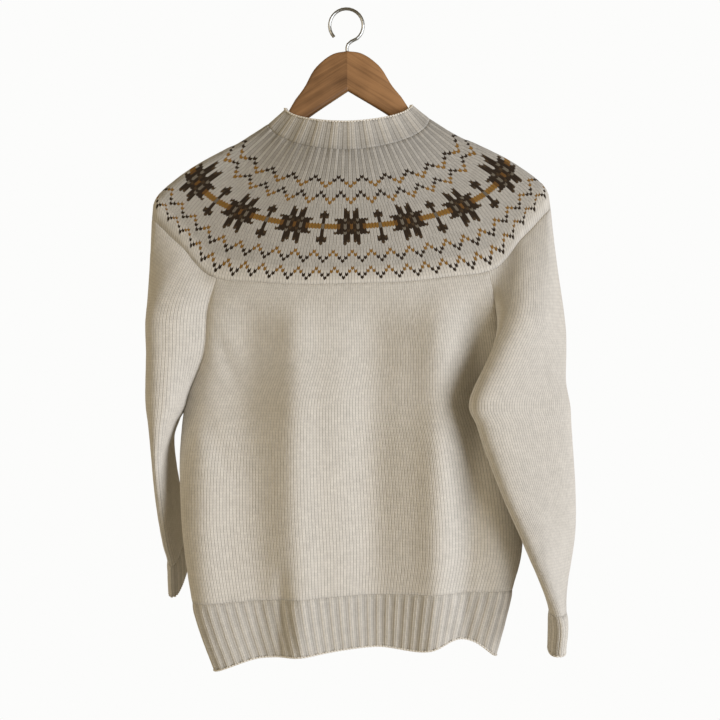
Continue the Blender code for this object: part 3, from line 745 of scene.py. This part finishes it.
class JumperStudio(bpy.types.PropertyGroup):
    """Lights and camera."""

    key_power: FloatProperty(
        name="Key light", description="Power of the large light at the right",
        default=235.0, min=0.0, unit="POWER")
    fill_power: FloatProperty(
        name="Fill light", description="Power of the light at the left",
        default=36.0, min=0.0, unit="POWER")
    sky: FloatProperty(
        name="Room light", description="Strength of the pale room around the jumper",
        default=0.34, min=0.0, max=2.0)
    distance: FloatProperty(
        name="Camera distance", description="From the camera to the jumper",
        default=1.6, min=0.5, unit="LENGTH")
    width: FloatProperty(
        name="Width in view", description="Width of the picture at the jumper",
        default=0.8064, min=0.1, unit="LENGTH")


def cloth():
    """The knitted cloth's settings."""
    return bpy.context.scene.jumper_cloth


def yarn_colours():
    """The colour that each letter of the charts stands for."""
    yarns = bpy.context.scene.jumper_yarns
    letters = {
        "c": yarns.cream, "d": yarns.brown, "t": yarns.tip,
        "g": yarns.ochre, "s": yarns.grey, "b": yarns.golden,
    }
    return {letter: np.array([*colour, 1.0]) for letter, colour in letters.items()}


def plain_yarns(rows):
    """Rows of the cream yarn."""
    return np.broadcast_to(yarn_colours()["c"], (rows, 1, 4))


def dulled(colour, share):
    """A colour with this share of its brightness left."""
    return colour * [share, share, share, 1.0]


def rib_yarns(shares):
    """Rows of the cream yarn in ribs, each row with a share of its brightness left.

    Two knit stitches are followed by two purl ones, which lie in shade.
    """
    cream = yarn_colours()["c"]
    # Painted shade: the purl stitches, which lie deeper, are painted darker.
    stitches = [1.0, 1.0, PURL_PAINTED_SHADE, PURL_PAINTED_SHADE]
    return np.array([[dulled(cream, share * lit) for lit in stitches] for share in shares])


def chart_yarns(band):
    """Colours of a band's stitches, row by row.

    The cream is painted duller towards the neck, as painted shade of the upper yoke, and near the
    neck every second stitch is painted darker still, as painted shade where it lies deeper.
    """
    colours = yarn_colours()
    chart = CHARTS[band.chart] if band.chart else ["c"] * band.rows
    yarns = []
    for k, row in enumerate(chart):
        height = band.upper + (band.lower - band.upper) * (k + 0.5) / band.rows
        down = (height - BANDS[0].upper) / (BANDS[-1].lower - BANDS[0].upper)
        # Painted shade: the cream is painted darker towards the neck.
        share = np.interp(down, YOKE_DOWN, YOKE_PAINTED_SHADE)
        # Painted shade: every second stitch near the neck, which lies deeper, is painted darker.
        deeper = 1 - DEEPER_PAINTED_SHADE * max(1 - DEEPER_FADE * down, 0.0)
        tones = [dulled(colours["c"], share), dulled(colours["c"], share * deeper)]
        letters = [row[s % len(row)] for s in range(band.stitches)]
        yarns.append(np.array([
            tones[s % 2] if letter == "c" else colours[letter]
            for s, letter in enumerate(letters)]))
    return yarns


# ---- nodes and materials


def feed(tree, node, inputs):
    """Give inputs of a node a value each, or the socket or node that feeds them."""
    for name, value in inputs.items():
        if isinstance(value, bpy.types.Node):
            value = value.outputs[0]
        if isinstance(value, bpy.types.NodeSocket):
            tree.links.new(value, node.inputs[name])
        else:
            node.inputs[name].default_value = value


def add_node(tree, kind, inputs=None, **settings):
    """Add a node with these settings and these inputs."""
    made = tree.nodes.new(kind)
    for name, value in settings.items():
        setattr(made, name, value)
    feed(tree, made, inputs or {})
    return made


def maths(tree, operation, *values):
    """Add a maths node and give its result."""
    return add_node(
        tree, "ShaderNodeMath", dict(enumerate(values)), operation=operation).outputs[0]


def vector_maths(tree, operation, *values, scale=None):
    """Add a vector maths node and give its result."""
    inputs = dict(enumerate(values))
    if scale is not None:
        inputs["Scale"] = scale
    return add_node(tree, "ShaderNodeVectorMath", inputs, operation=operation).outputs[0]


def zigzag(tree, value, half):
    """A value that climbs from 0 to 1 and falls again, over twice this length."""
    return maths(tree, "DIVIDE", maths(tree, "PINGPONG", value, half), half)


def noise(tree, place, scale, **inputs):
    """Soft noise over a place in metres, in patches about 1 / scale metres across."""
    return add_node(tree, "ShaderNodeTexNoise", {"Vector": place, "Scale": scale, **inputs})


def read_attribute(tree, name, kind):
    """A named attribute of the points."""
    return add_node(tree, "GeometryNodeInputNamedAttribute", {"Name": name},
                    data_type=kind).outputs["Attribute"]


def knitting_tree(name, *sizes):
    """A new tree of geometry nodes that takes a geometry, these sizes and a wool."""
    tree = bpy.data.node_groups.new(name, "GeometryNodeTree")
    takes = [("Geometry", "Geometry"), *((size, "Float") for size in sizes), ("Wool", "Material")]
    for label, kind in takes:
        tree.interface.new_socket(label, in_out="INPUT", socket_type="NodeSocket" + kind)
    tree.interface.new_socket("Geometry", in_out="OUTPUT", socket_type="NodeSocketGeometry")
    return tree, add_node(tree, "NodeGroupInput").outputs


def end_in_wool(tree, geometry, wool):
    """Make what a tree has built real, and give it its wool."""
    whole = add_node(tree, "GeometryNodeRealizeInstances", {"Geometry": geometry})
    dressed = add_node(tree, "GeometryNodeSetMaterial", {"Geometry": whole, "Material": wool})
    add_node(tree, "NodeGroupOutput", {"Geometry": dressed})


def stockinette_tree():
    """Geometry nodes that raise each stitch's two legs and slant its row into a V."""
    tree, given = knitting_tree("stockinette", "Stitch relief", "Stitch slant", "Unevenness")
    stitch = read_attribute(tree, "stitch", "FLOAT")
    knit = read_attribute(tree, "knit", "FLOAT")
    away = read_attribute(tree, "away", "FLOAT_VECTOR")
    wale = read_attribute(tree, "wale", "FLOAT_VECTOR")
    # A stitch is 1 wide, with a leg of its V in each half and its lowest point in the middle.
    from_middle = zigzag(tree, maths(tree, "ADD", stitch, 0.5), 0.5)
    rise = maths(tree, "SUBTRACT", from_middle, 0.5)
    place = add_node(tree, "GeometryNodeInputPosition")
    wander = noise(tree, place, 90.0)
    uneven = maths(tree, "MULTIPLY", maths(tree, "SUBTRACT", wander, 0.5), given["Unevenness"])
    height = maths(
        tree, "MULTIPLY_ADD", zigzag(tree, stitch, 0.25), given["Stitch relief"], uneven)
    out = vector_maths(tree, "SCALE", away, scale=height)
    slant = maths(tree, "MULTIPLY", rise, given["Stitch slant"])
    up = vector_maths(tree, "SCALE", wale, scale=slant)
    offset = vector_maths(tree, "SCALE", vector_maths(tree, "ADD", out, up), scale=knit)
    moved = add_node(
        tree, "GeometryNodeSetPosition", {"Geometry": given["Geometry"], "Offset": offset})
    end_in_wool(tree, moved, given["Wool"])
    return tree


def chain_tree():
    """Geometry nodes that lay a chain of cast off stitches along a line of points."""
    tree, given = knitting_tree("cast_off_chain", "Stitch length", "Yarn width")
    length, width = given["Stitch length"], given["Yarn width"]
    line = add_node(tree, "GeometryNodeMeshToCurve", {"Mesh": given["Geometry"]})
    even = add_node(
        tree, "GeometryNodeResampleCurve", {"Curve": line, "Length": length}, mode="LENGTH")
    tangent = add_node(tree, "GeometryNodeInputTangent")
    turned = add_node(tree, "FunctionNodeAlignRotationToVector", {"Vector": tangent}, axis="X")
    loop = add_node(
        tree, "GeometryNodeMeshUVSphere", {"Segments": 8, "Rings": 5, "Radius": 0.5})
    pair = add_node(tree, "GeometryNodeJoinGeometry")
    for side in (-1, 1):
        size = add_node(tree, "ShaderNodeCombineXYZ", {
            "X": maths(tree, "MULTIPLY", length, STRAND_LENGTH), "Y": width, "Z": width})
        across = add_node(tree, "ShaderNodeCombineXYZ", {
            "Y": maths(tree, "MULTIPLY", width, side * STRAND_OFF)})
        strand = add_node(tree, "GeometryNodeTransform", {
            "Geometry": loop, "Translation": across, "Scale": size,
            "Rotation": (0.0, 0.0, -side * STRAND_TURN)})
        feed(tree, pair, {0: strand})
    laid = add_node(tree, "GeometryNodeInstanceOnPoints", {
        "Points": even, "Instance": pair, "Rotation": turned})
    smooth = add_node(tree, "GeometryNodeSetShadeSmooth", {"Geometry": laid})
    end_in_wool(tree, smooth, given["Wool"])
    return tree


def placed(name, data):
    """Make a mesh, light or camera an object of the scene, at the origin."""
    obj = bpy.data.objects.new(name, data)
    bpy.context.scene.collection.objects.link(obj)
    return obj


def made_by_nodes(name, start, tree, values):
    """Make an object of what a node tree makes of a mesh, with these input values."""
    obj = placed(name, start)
    modifier = obj.modifiers.new(tree.name, "NODES")
    modifier.node_group = tree
    for item in tree.interface.items_tree:
        if item.item_type == "SOCKET" and item.in_out == "INPUT" and item.name in values:
            modifier[item.identifier] = values[item.name]
    view = bpy.context.evaluated_depsgraph_get()
    mesh = bpy.data.meshes.new_from_object(
        obj.evaluated_get(view), preserve_all_data_layers=True, depsgraph=view)
    obj.modifiers.clear()
    obj.data = mesh
    bpy.data.meshes.remove(start)
    return obj


def principled(name, inputs):
    """A new material with its tree and its shader, whose inputs have these values."""
    made = bpy.data.materials.new(name)
    made.use_nodes = True
    shader = made.node_tree.nodes["Principled BSDF"]
    feed(made.node_tree, shader, inputs)
    return made, made.node_tree, shader


def two_tones(tree, tone, darker, lighter, start=0.0, end=1.0):
    """A colour between two hex colours, as the tone goes from the start to the end."""
    ramp = add_node(tree, "ShaderNodeValToRGB", {0: tone})
    for stop, colour, at in zip(ramp.color_ramp.elements, (darker, lighter), (start, end)):
        stop.position = at
        stop.color = opaque(colour)
    return ramp


def wool_material():
    """Spun wool, hand knitted: dyed yarns, a row of plump legs, faint mottling, no shine.

    Its colour holds painted shade in the grooves between two rows and between the legs of the
    stitches. It also gives a slightly different tone from stitch to stitch, and the soft bloom that
    wool has at its edges.
    """
    made, tree, shader = principled("hand_knitted_wool", {
        "Roughness": 0.95, "Sheen Weight": 0.25, "Sheen Roughness": 0.5,
        "Specular IOR Level": 0.15})
    stitches = add_node(tree, "ShaderNodeUVMap", uv_map="stitches")
    across, down, _ = add_node(tree, "ShaderNodeSeparateXYZ", {0: stitches}).outputs
    row = maths(tree, "POWER", zigzag(tree, down, 0.5), ROUNDNESS)
    wale = maths(tree, "POWER", zigzag(tree, across, 0.5), ROUNDNESS)
    body = maths(tree, "MULTIPLY", row, ROW_SHARE)
    body = maths(tree, "MULTIPLY_ADD", zigzag(tree, across, 0.25), LEG_SHARE, body)
    body = maths(tree, "MULTIPLY_ADD", wale, WALE_SHARE, body)

    whole = vector_maths(tree, "FLOOR", stitches)
    each = add_node(tree, "ShaderNodeTexWhiteNoise", {"Vector": whole}, noise_dimensions="2D")
    # Clouds of tone are about 14 mm across and fibres 0.4 mm.
    place = add_node(tree, "ShaderNodeTexCoord").outputs["Object"]
    cloud = noise(tree, place, 70.0, Detail=4.0)
    fibre = noise(tree, place, 2600.0)
    # Painted shade: the stitch's shape darkens the yarn's colour in the grooves between rows and
    # legs.
    tone = maths(tree, "MULTIPLY_ADD", body, 0.75, 0.33)
    tone = maths(tree, "MULTIPLY_ADD", each, 0.1, tone)
    tone = maths(tree, "MULTIPLY_ADD", cloud, 0.16, tone)
    yarn = add_node(tree, "ShaderNodeVertexColor", layer_name="yarn")
    height = maths(tree, "MULTIPLY_ADD", fibre, 0.25, body)
    feed(tree, shader, {
        "Base Color": vector_maths(tree, "SCALE", yarn, scale=tone),
        "Normal": add_node(tree, "ShaderNodeBump", {"Height": height, "Distance": 0.0006})})
    return made


def beech_material():
    """Steamed beech, stained and lacquered.

    It gives the eye a warm brown with fine darker grain along each arm. The right arm is painted a
    little lighter than the left one, as painted light and shade.
    """
    made, tree, shader = principled("lacquered_beech", {"Roughness": 0.42, "Coat Weight": 0.15})
    place = add_node(tree, "ShaderNodeTexCoord").outputs["Object"]
    x, y, z = add_node(tree, "ShaderNodeSeparateXYZ", {0: place}).outputs
    across = maths(tree, "MULTIPLY_ADD", maths(tree, "ABSOLUTE", x), ARM_FALL, z)
    # The grain is about 4 mm wide and 80 mm long, in patches of 33 mm.
    along = add_node(tree, "ShaderNodeCombineXYZ", {
        "X": maths(tree, "MULTIPLY", x, 12.0),
        "Y": maths(tree, "MULTIPLY", y, 240.0),
        "Z": maths(tree, "MULTIPLY", across, 240.0)})
    grain = noise(tree, along, 1.0, Detail=5.0, Roughness=0.6)
    patch = noise(tree, place, 30.0)
    tone = maths(tree, "MULTIPLY_ADD", patch, 0.35, maths(tree, "MULTIPLY", grain, 0.8))
    # Painted light and shade: the right arm is painted a little lighter than the left one.
    right_arm_painted_lighter = maths(tree, "GREATER_THAN", x, 0.0015)
    tone = maths(tree, "MULTIPLY_ADD", right_arm_painted_lighter, 0.16, tone)
    feed(tree, shader, {
        "Base Color": two_tones(tree, tone, "#5F4023", "#A57A50", 0.35, 0.78),
        "Normal": add_node(tree, "ShaderNodeBump", {"Height": grain, "Distance": 0.0001})})
    return made


def wire_material():
    """Drawn steel wire, zinc plated: it gives the eye a grey, blurred shine and drawing marks."""
    made, tree, shader = principled("zinc_plated_wire", {"Metallic": 1.0, "Roughness": 0.3})
    place = add_node(tree, "ShaderNodeTexCoord").outputs["Object"]
    marks = noise(tree, place, 900.0)  # about 1.1 mm long
    feed(tree, shader, {"Base Color": two_tones(tree, marks, "#7C7C7A", "#A9A9A5")})
    return made


def once(store, name, make):
    """The material or node tree of this name, made once."""
    return store.get(name) or make()


def wool():
    """The wool that every knitted piece is made of."""
    return once(bpy.data.materials, "hand_knitted_wool", wool_material)


# ---- pieces


def knitted(name, nodes, fabric):
    """Raise a fabric's stitches and put it in the place of its plain nodes."""
    tree = once(bpy.data.node_groups, "stockinette", stockinette_tree)
    obj = made_by_nodes(name, fabric.mesh(name), tree, {
        "Stitch relief": cloth().relief, "Stitch slant": cloth().slant,
        "Unevenness": cloth().unevenness, "Wool": wool()})
    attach(obj, "root")
    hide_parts(*nodes)
    return obj


def walled(name, nodes, side, rows, away, yarns, closed=False, every=INNER_EVERY, lining=None):
    """Knit a piece: its outside, the plain inside that lines it, and the rims between them."""
    fabric = Fabric(side)
    outer = fabric.knit(rows, away, 0, yarns, closed)
    inner = fabric.inside(rows if lining is None else lining, away, every, closed)
    fabric.close_rims(outer, inner, closed)
    return knitted(name, nodes, fabric)


def ribs_raised(rows, away, profile, rise):
    """Raise the ribs by their profile across a row and by how far each row has risen."""
    return rows + away * RIB_HEIGHT * profile[None, :, None] * rise[:, None, None]


def ribbed(name, node, side, plain, away, shares=None, **ways):
    """Knit a piece in ribs over a plain inside.

    Its ribs rise out of the plain knit above it, or stand out all the way where each row is
    given a share of its brightness.
    """
    rise = np.ones(len(plain))
    if shares is None:
        shares = rise[1:]
        rise = np.clip(np.arange(len(plain)) / RIB_FADE, 0, 1)
    rows = ribs_raised(plain, away, np.resize(RIB_PROFILE, plain.shape[1]), rise)
    return walled(name, [node], side, rows, away, rib_yarns(shares), lining=plain, **ways)


def ribs_run_on(rows, away, shares):
    """Let the neckband's ribs run on into the rows under it, lower and lower."""
    stitches = NECK_RIBS * RIB_STITCHES
    at = np.mod((shares + 0.5 / stitches) * stitches * ACROSS, len(RIB_PROFILE))
    profile = np.interp(at, np.arange(len(RIB_PROFILE) + 1), RIB_PROFILE + RIB_PROFILE[:1])
    return ribs_raised(rows, away, profile, np.clip(1 - np.arange(len(rows)) / RIBS_RUN_ON, 0, 1))


def round_shares(stitches, points):
    """Shares of the way round of evenly spaced points, so that a stitch faces the front."""
    return np.arange(points) / points - 0.5 / stitches


def round_rows(surface, heights, shares):
    """Rows of places on a round surface at these heights, with the ways out from it."""
    rows = np.array([surface.points(height, shares) for height in heights])
    return rows, outward_normals(rows, FRONT, True)


class JUMPER_OT_neckband(bpy.types.Operator):
    """Knit the ribbed band around the neck"""

    bl_idname = "jumper.neckband"
    bl_label = "Knit neckband"

    def execute(self, context):
        stitches = NECK_RIBS * RIB_STITCHES
        heights = np.linspace(ROUNDS[0].middle_z, ROUNDS[1].middle_z, NECK_ROWS + 1)
        shares = round_shares(stitches, stitches * ACROSS)
        plain, away = round_rows(YokeSurface(ROUNDS[:2]), heights, shares)
        # Painted shade: the neckband's cream is painted darker row by row, down to the yoke.
        obj = ribbed("knitted_neckband", "neckband", FRONT, plain, away,
                     np.linspace(NECK_PAINTED_SHADE, NECK_EDGE_PAINTED_SHADE, NECK_ROWS), closed=True)
        return {"FINISHED"}


class JUMPER_OT_yoke(bpy.types.Operator):
    """Knit the round yoke with its zigzags and stars"""

    bl_idname = "jumper.yoke"
    bl_label = "Knit patterned yoke"

    def execute(self, context):
        surface = YokeSurface(ROUNDS[1:])
        fabric = Fabric()
        lines = []
        first_row = 0
        for stitches, bands in groupby(BANDS, key=lambda band: band.stitches):
            heights, yarns = [], []
            for band in bands:
                heights += list(np.linspace(band.upper, band.lower, band.rows + 1))[bool(heights):]
                yarns += chart_yarns(band)
            skip = int(bool(lines))
            shares = round_shares(stitches, stitches * ACROSS)
            rows, away = round_rows(surface, heights[skip:], shares)
            if not lines:
                rows = ribs_run_on(rows, away, shares)
            ends = (not lines, stitches == BANDS[-1].stitches)
            ids = fabric.knit(rows, away, first_row + skip, yarns[skip:], True, ends)
            if lines:
                fabric.join(lines[-1], ids[0], yarns[0][0], True, rows=(first_row, first_row + 1))
            lines += [ids[0], ids[-1]]
            first_row += len(yarns)
        heights = np.linspace(BANDS[0].upper, BANDS[-1].lower, YOKE_INNER_ROWS)
        lining = round_rows(surface, heights, round_shares(BANDS[0].stitches, YOKE_INNER_COLUMNS))
        fabric.close_rims([lines[0], lines[-1]], fabric.inside(*lining, 1, True), True)
        obj = knitted("knitted_yoke", ["yoke"], fabric)
        return {"FINISHED"}


def panel(side, stitches, steps, first, last):
    """Rows of a front or back between two of its sections, with the ways out from it."""
    rows = body_rows(side, stitches * ACROSS, steps)
    away = outward_normals(rows, side, False)
    part = slice(sum(steps[:first]), sum(steps[:last]) + 1)
    return rows[part], away[part]


class JUMPER_OT_panels(bpy.types.Operator):
    """Knit the front and back of the body"""

    bl_idname = "jumper.panels"
    bl_label = "Knit front and back"

    def execute(self, context):
        for (name, side), length in zip(SIDES.items(), (0.345, 0.35)):
            rows, away = panel(side, PANEL_STITCHES, PANEL_ROWS + HEM_ROWS, 0, HEM_TOP)
            obj = walled("knitted_" + name, ["body_" + name], side, rows, away,
                         plain_yarns(len(rows) - 1))
        return {"FINISHED"}


class JUMPER_OT_hem(bpy.types.Operator):
    """Knit the ribs along the lower edge of the front and back"""

    bl_idname = "jumper.hem"
    bl_label = "Knit hem ribs"

    def execute(self, context):
        # The few rows above the ribs only give the first one its slope.
        steps = [4] * HEM_TOP + HEM_ROWS
        for name, side in SIDES.items():
            plain, away = panel(side, HEM_RIBS * RIB_STITCHES, steps, HEM_TOP, len(steps))
            obj = ribbed("ribbed_hem_" + name, "hem_rib_" + name, side, plain, away)
        return {"FINISHED"}


class JUMPER_OT_sleeves(bpy.types.Operator):
    """Knit both sleeves"""

    bl_idname = "jumper.sleeves"
    bl_label = "Knit sleeves"

    def execute(self, context):
        each = SLEEVE_STITCHES * ACROSS // SLEEVE_COLUMNS
        for (name, steps), area in zip(SLEEVE_ROWS.items(), (0.0796, 0.0871)):
            rows = sleeve_rows(name, each, steps + CUFF_ROWS)
            away = outward_normals(rows, -ARMS[name], False)
            # Below the underarm, both sides of the seam share their ways out.
            seam = away[sum(steps[:UNDERARM]) + 1:]
            shared = seam[:, 0] + seam[:, -1]
            seam[:, 0] = seam[:, -1] = shared / np.linalg.norm(shared, axis=-1, keepdims=True)
            last = sum(steps) + 1
            nodes = [f"sleeve_{name}_{part}" for part in ("shoulder", "elbow", "forearm")]
            obj = walled("knitted_sleeve_" + name, nodes, -ARMS[name], rows[:last], away[:last],
                         plain_yarns(last - 1), every=SLEEVE_INNER_EVERY)
        return {"FINISHED"}


class JUMPER_OT_cuffs(bpy.types.Operator):
    """Knit the ribbed cuffs"""

    bl_idname = "jumper.cuffs"
    bl_label = "Knit cuffs"

    def execute(self, context):
        each = CUFF_RIBS * RIB_STITCHES * ACROSS // SLEEVE_COLUMNS
        for name, steps in SLEEVE_ROWS.items():
            plain = sleeve_rows(name, each, steps + CUFF_ROWS)[sum(steps):, :-1]
            away = outward_normals(plain, -ARMS[name], True)
            obj = ribbed("ribbed_cuff_" + name, "cuff_" + name, -ARMS[name], plain, away,
                         closed=True, every=SLEEVE_INNER_EVERY)
        return {"FINISHED"}


# ---- hanger


def arm_outline():
    """Outline of the hanger's right arm, from the middle along its top and back below."""
    bell = np.linspace(JOINT, BELL_X[-1], BELL_POINTS)
    x = np.linspace(SHOULDER_X[0], SHOULDER_X[-1] - 2, SHOULDER_POINTS)
    z = through(x, SHOULDER_X, SHOULDER_Z)
    slope = np.gradient(z, x)
    size = np.sqrt(1 + slope**2)
    cover_x = x + slope / size * ARM_UNDER_CLOTH
    cover_z = z - ARM_UNDER_CLOTH / size
    below = np.linspace(UNDERSIDE_X[-1], JOINT, UNDERSIDE_POINTS)
    return np.concatenate([
        np.stack([bell, through(bell, BELL_X, BELL_TOP)], axis=1),
        np.stack([cover_x, cover_z], axis=1),
        np.stack([below, through(below, UNDERSIDE_X, UNDERSIDE_Z)], axis=1),
    ])


def drawn(name, bm):
    """A mesh of what has been shaped, which is then let go."""
    mesh = bpy.data.meshes.new(name)
    bm.to_mesh(mesh)
    bm.free()
    return mesh


def arm_mesh(name, side):
    """One wooden arm: the outline at its thickness, its long edges rounded."""
    half = ARM_THICKNESS / 2
    outline = [(side * x, -half, z) for x, z in arm_outline()]
    bm = bmesh.new()
    face = bm.faces.new([bm.verts.new(Vector(point) * MM) for point in outline])
    grown = bmesh.ops.extrude_face_region(bm, geom=[face])["geom"]
    moved = [item for item in grown if isinstance(item, bmesh.types.BMVert)]
    bmesh.ops.translate(bm, verts=moved, vec=(0, ARM_THICKNESS * MM, 0))
    bmesh.ops.recalc_face_normals(bm, faces=bm.faces)
    joint = JOINT * MM * 2
    long_edges = [
        edge for edge in bm.edges
        if abs(edge.verts[0].co.y - edge.verts[1].co.y) < MM
        and max(abs(vert.co.x) for vert in edge.verts) > joint
    ]
    bmesh.ops.bevel(
        bm, geom=long_edges, offset=ARM_ROUNDING * MM, segments=5, profile=0.5, affect="EDGES")
    bmesh.ops.rotate(bm, verts=bm.verts, matrix=Matrix.Rotation(-TILT, 3, "Y"))
    mesh = drawn(name, bm)
    mesh.shade_smooth()
    mesh.set_sharp_from_angle(angle=math.radians(35))
    return mesh


class JUMPER_OT_hanger(bpy.types.Operator):
    """Shape the hanger's two wooden arms and give the wire hook its zinc plating"""

    bl_idname = "jumper.hanger"
    bl_label = "Make hanger"

    def execute(self, context):
        for name, side in ARMS.items():
            arm = placed("wooden_arm_" + name, arm_mesh("wooden_arm_" + name, side))
            beech = once(bpy.data.materials, "lacquered_beech", beech_material)
            arm.data.materials.append(beech)
            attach(arm, "root")
            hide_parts("hanger_arm_" + name)
        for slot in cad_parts["hanger_hook"].material_slots:
            slot.material = once(bpy.data.materials, "zinc_plated_wire", wire_material)
        return {"FINISHED"}


# ---- edges, stage and panel


class JUMPER_OT_edges(bpy.types.Operator):
    """Cast off the neck, hem and cuffs with a chain of stitches"""

    bl_idname = "jumper.edges"
    bl_label = "Cast off edges"

    def execute(self, context):
        heights = [ROUNDS[0].middle_z, ROUNDS[0].middle_z - ROW]
        neck, away = round_rows(YokeSurface(ROUNDS[:2]), heights, round_shares(1, CHAIN_POINTS))
        neck = (neck + away * CHAIN_OUT)[0]
        lines = {"cast_off_neck": np.concatenate([neck, neck[:1]])}
        for name, side in SIDES.items():
            rows = body_rows(side, CHAIN_POINTS, PANEL_ROWS + HEM_ROWS)[-2:]
            away = outward_normals(rows, side, False) * CHAIN_OUT
            lines["cast_off_hem_" + name] = (rows + away)[-1]
        for name, steps in SLEEVE_ROWS.items():
            lines["cast_off_cuff_" + name] = sleeve_rows(
                name, CUFF_CHAIN_POINTS, steps + CUFF_ROWS)[-1]
        tree = once(bpy.data.node_groups, "cast_off_chain", chain_tree)
        for name, line in lines.items():
            mesh = bpy.data.meshes.new(name)
            mesh.from_pydata(line * MM, [(i, i + 1) for i in range(len(line) - 1)], [])
            obj = made_by_nodes(name, mesh, tree, {
                "Stitch length": CHAIN_LENGTH * MM, "Yarn width": CHAIN_WIDTH * MM,
                "Wool": wool()})
            colour_chain(obj.data)
            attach(obj, "root")
        return {"FINISHED"}


def colour_chain(mesh):
    """Give a chain the cream yarn's colour and a place in the stitch map."""
    corners = len(mesh.loops)
    yarn = mesh.color_attributes.new("yarn", "FLOAT_COLOR", "CORNER")
    yarn.data.foreach_set("color", np.tile(yarn_colours()["c"], corners))
    if "stitches" not in mesh.uv_layers:
        mesh.uv_layers.new(name="stitches")
    mesh.uv_layers["stitches"].data.foreach_set("uv", np.full(corners * 2, 0.25))


class JUMPER_OT_stage(bpy.types.Operator):
    """Set the pale floor, soft lights and camera"""

    bl_idname = "jumper.stage"
    bl_label = "Set stage"

    def execute(self, context):
        studio = context.scene.jumper_studio
        bm = bmesh.new()
        bmesh.ops.create_circle(bm, cap_ends=True, segments=64, radius=FLOOR_RADIUS)
        bmesh.ops.translate(bm, verts=bm.verts, vec=(0, 0, FLOOR_HEIGHT))
        floor = placed("floor", drawn("floor", bm))
        # Trowelled plaster, painted matt: it gives the eye a pale ground with soft shadows.
        plaster, _, _ = principled(
            "pale_plaster", {"Base Color": opaque("#F2F1EE"), "Roughness": 0.9})
        floor.data.materials.append(plaster)
        middle = Vector((CENTRE_X, 0.0, CENTRE_Z))
        powers = studio.key_power, studio.fill_power
        for (name, place, size, colour), power in zip(LIGHTS, powers):
            light = bpy.data.lights.new(name, "AREA")
            light.size = size
            light.energy = power
            light.color = linear(colour)
            lamp = placed(name, light)
            lamp.location = place
            lamp.rotation_euler = (middle - lamp.location).to_track_quat("-Z", "Y").to_euler()
        room(context.scene, studio.sky)
        camera = bpy.data.cameras.new("camera")
        camera.sensor_width = 36.0
        camera.angle = 2 * math.atan(studio.width / 2 / studio.distance)
        camera.dof.use_dof = False
        view = placed("camera", camera)
        view.location = (CENTRE_X, -studio.distance, CENTRE_Z)
        view.rotation_euler = (math.pi / 2, 0, 0)
        context.scene.camera = view
        context.scene.view_settings.view_transform = "Standard"
        return {"FINISHED"}


def room(scene, strength):
    """A pale room: soft light from all sides, near white where it is seen itself."""
    world = bpy.data.worlds.new("pale_room")
    world.use_nodes = True
    scene.world = world
    tree = world.node_tree
    seen = add_node(tree, "ShaderNodeLightPath").outputs["Is Camera Ray"]
    level = maths(tree, "MULTIPLY_ADD", seen, 1.0 - strength, strength)
    colour = add_node(
        tree, "ShaderNodeMix", {0: seen, 6: opaque("#EBD6AE"), 7: opaque("#FCFCFB")},
        data_type="RGBA").outputs[2]
    feed(tree, tree.nodes["Background"], {"Color": colour, "Strength": level})


STEPS = (
    JUMPER_OT_hanger, JUMPER_OT_edges, JUMPER_OT_yoke, JUMPER_OT_neckband, JUMPER_OT_panels,
    JUMPER_OT_hem, JUMPER_OT_sleeves, JUMPER_OT_cuffs, JUMPER_OT_stage,
)


class JUMPER_PT_sidebar(bpy.types.Panel):
    """Settings and steps of the fair isle jumper"""

    bl_idname = "JUMPER_PT_sidebar"
    bl_label = "Fair Isle Jumper"
    bl_space_type = "VIEW_3D"
    bl_region_type = "UI"
    bl_category = "Jumper"

    def draw(self, context):
        column = self.layout.column()
        for group in SETTINGS:
            settings = getattr(context.scene, group)
            for name in type(settings).__annotations__:
                column.prop(settings, name)
            column.separator()
        for step in STEPS:
            column.operator(step.bl_idname)


SETTINGS = {
    "jumper_yarns": JumperYarns,
    "jumper_cloth": JumperCloth,
    "jumper_studio": JumperStudio,
}


def register():
    for made in (*SETTINGS.values(), *STEPS, JUMPER_PT_sidebar):
        bpy.utils.register_class(made)
    for name, group in SETTINGS.items():
        setattr(bpy.types.Scene, name, PointerProperty(type=group))


def unregister():
    for name in SETTINGS:
        delattr(bpy.types.Scene, name)
    for made in (JUMPER_PT_sidebar, *reversed(STEPS), *reversed(SETTINGS.values())):
        bpy.utils.unregister_class(made)


def main():
    """Make the whole jumper."""
    register()
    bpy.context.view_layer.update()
    for step in STEPS:
        kind, name = step.bl_idname.split(".")
        getattr(getattr(bpy.ops, kind), name)()


if __name__ == "__main__":
    main()
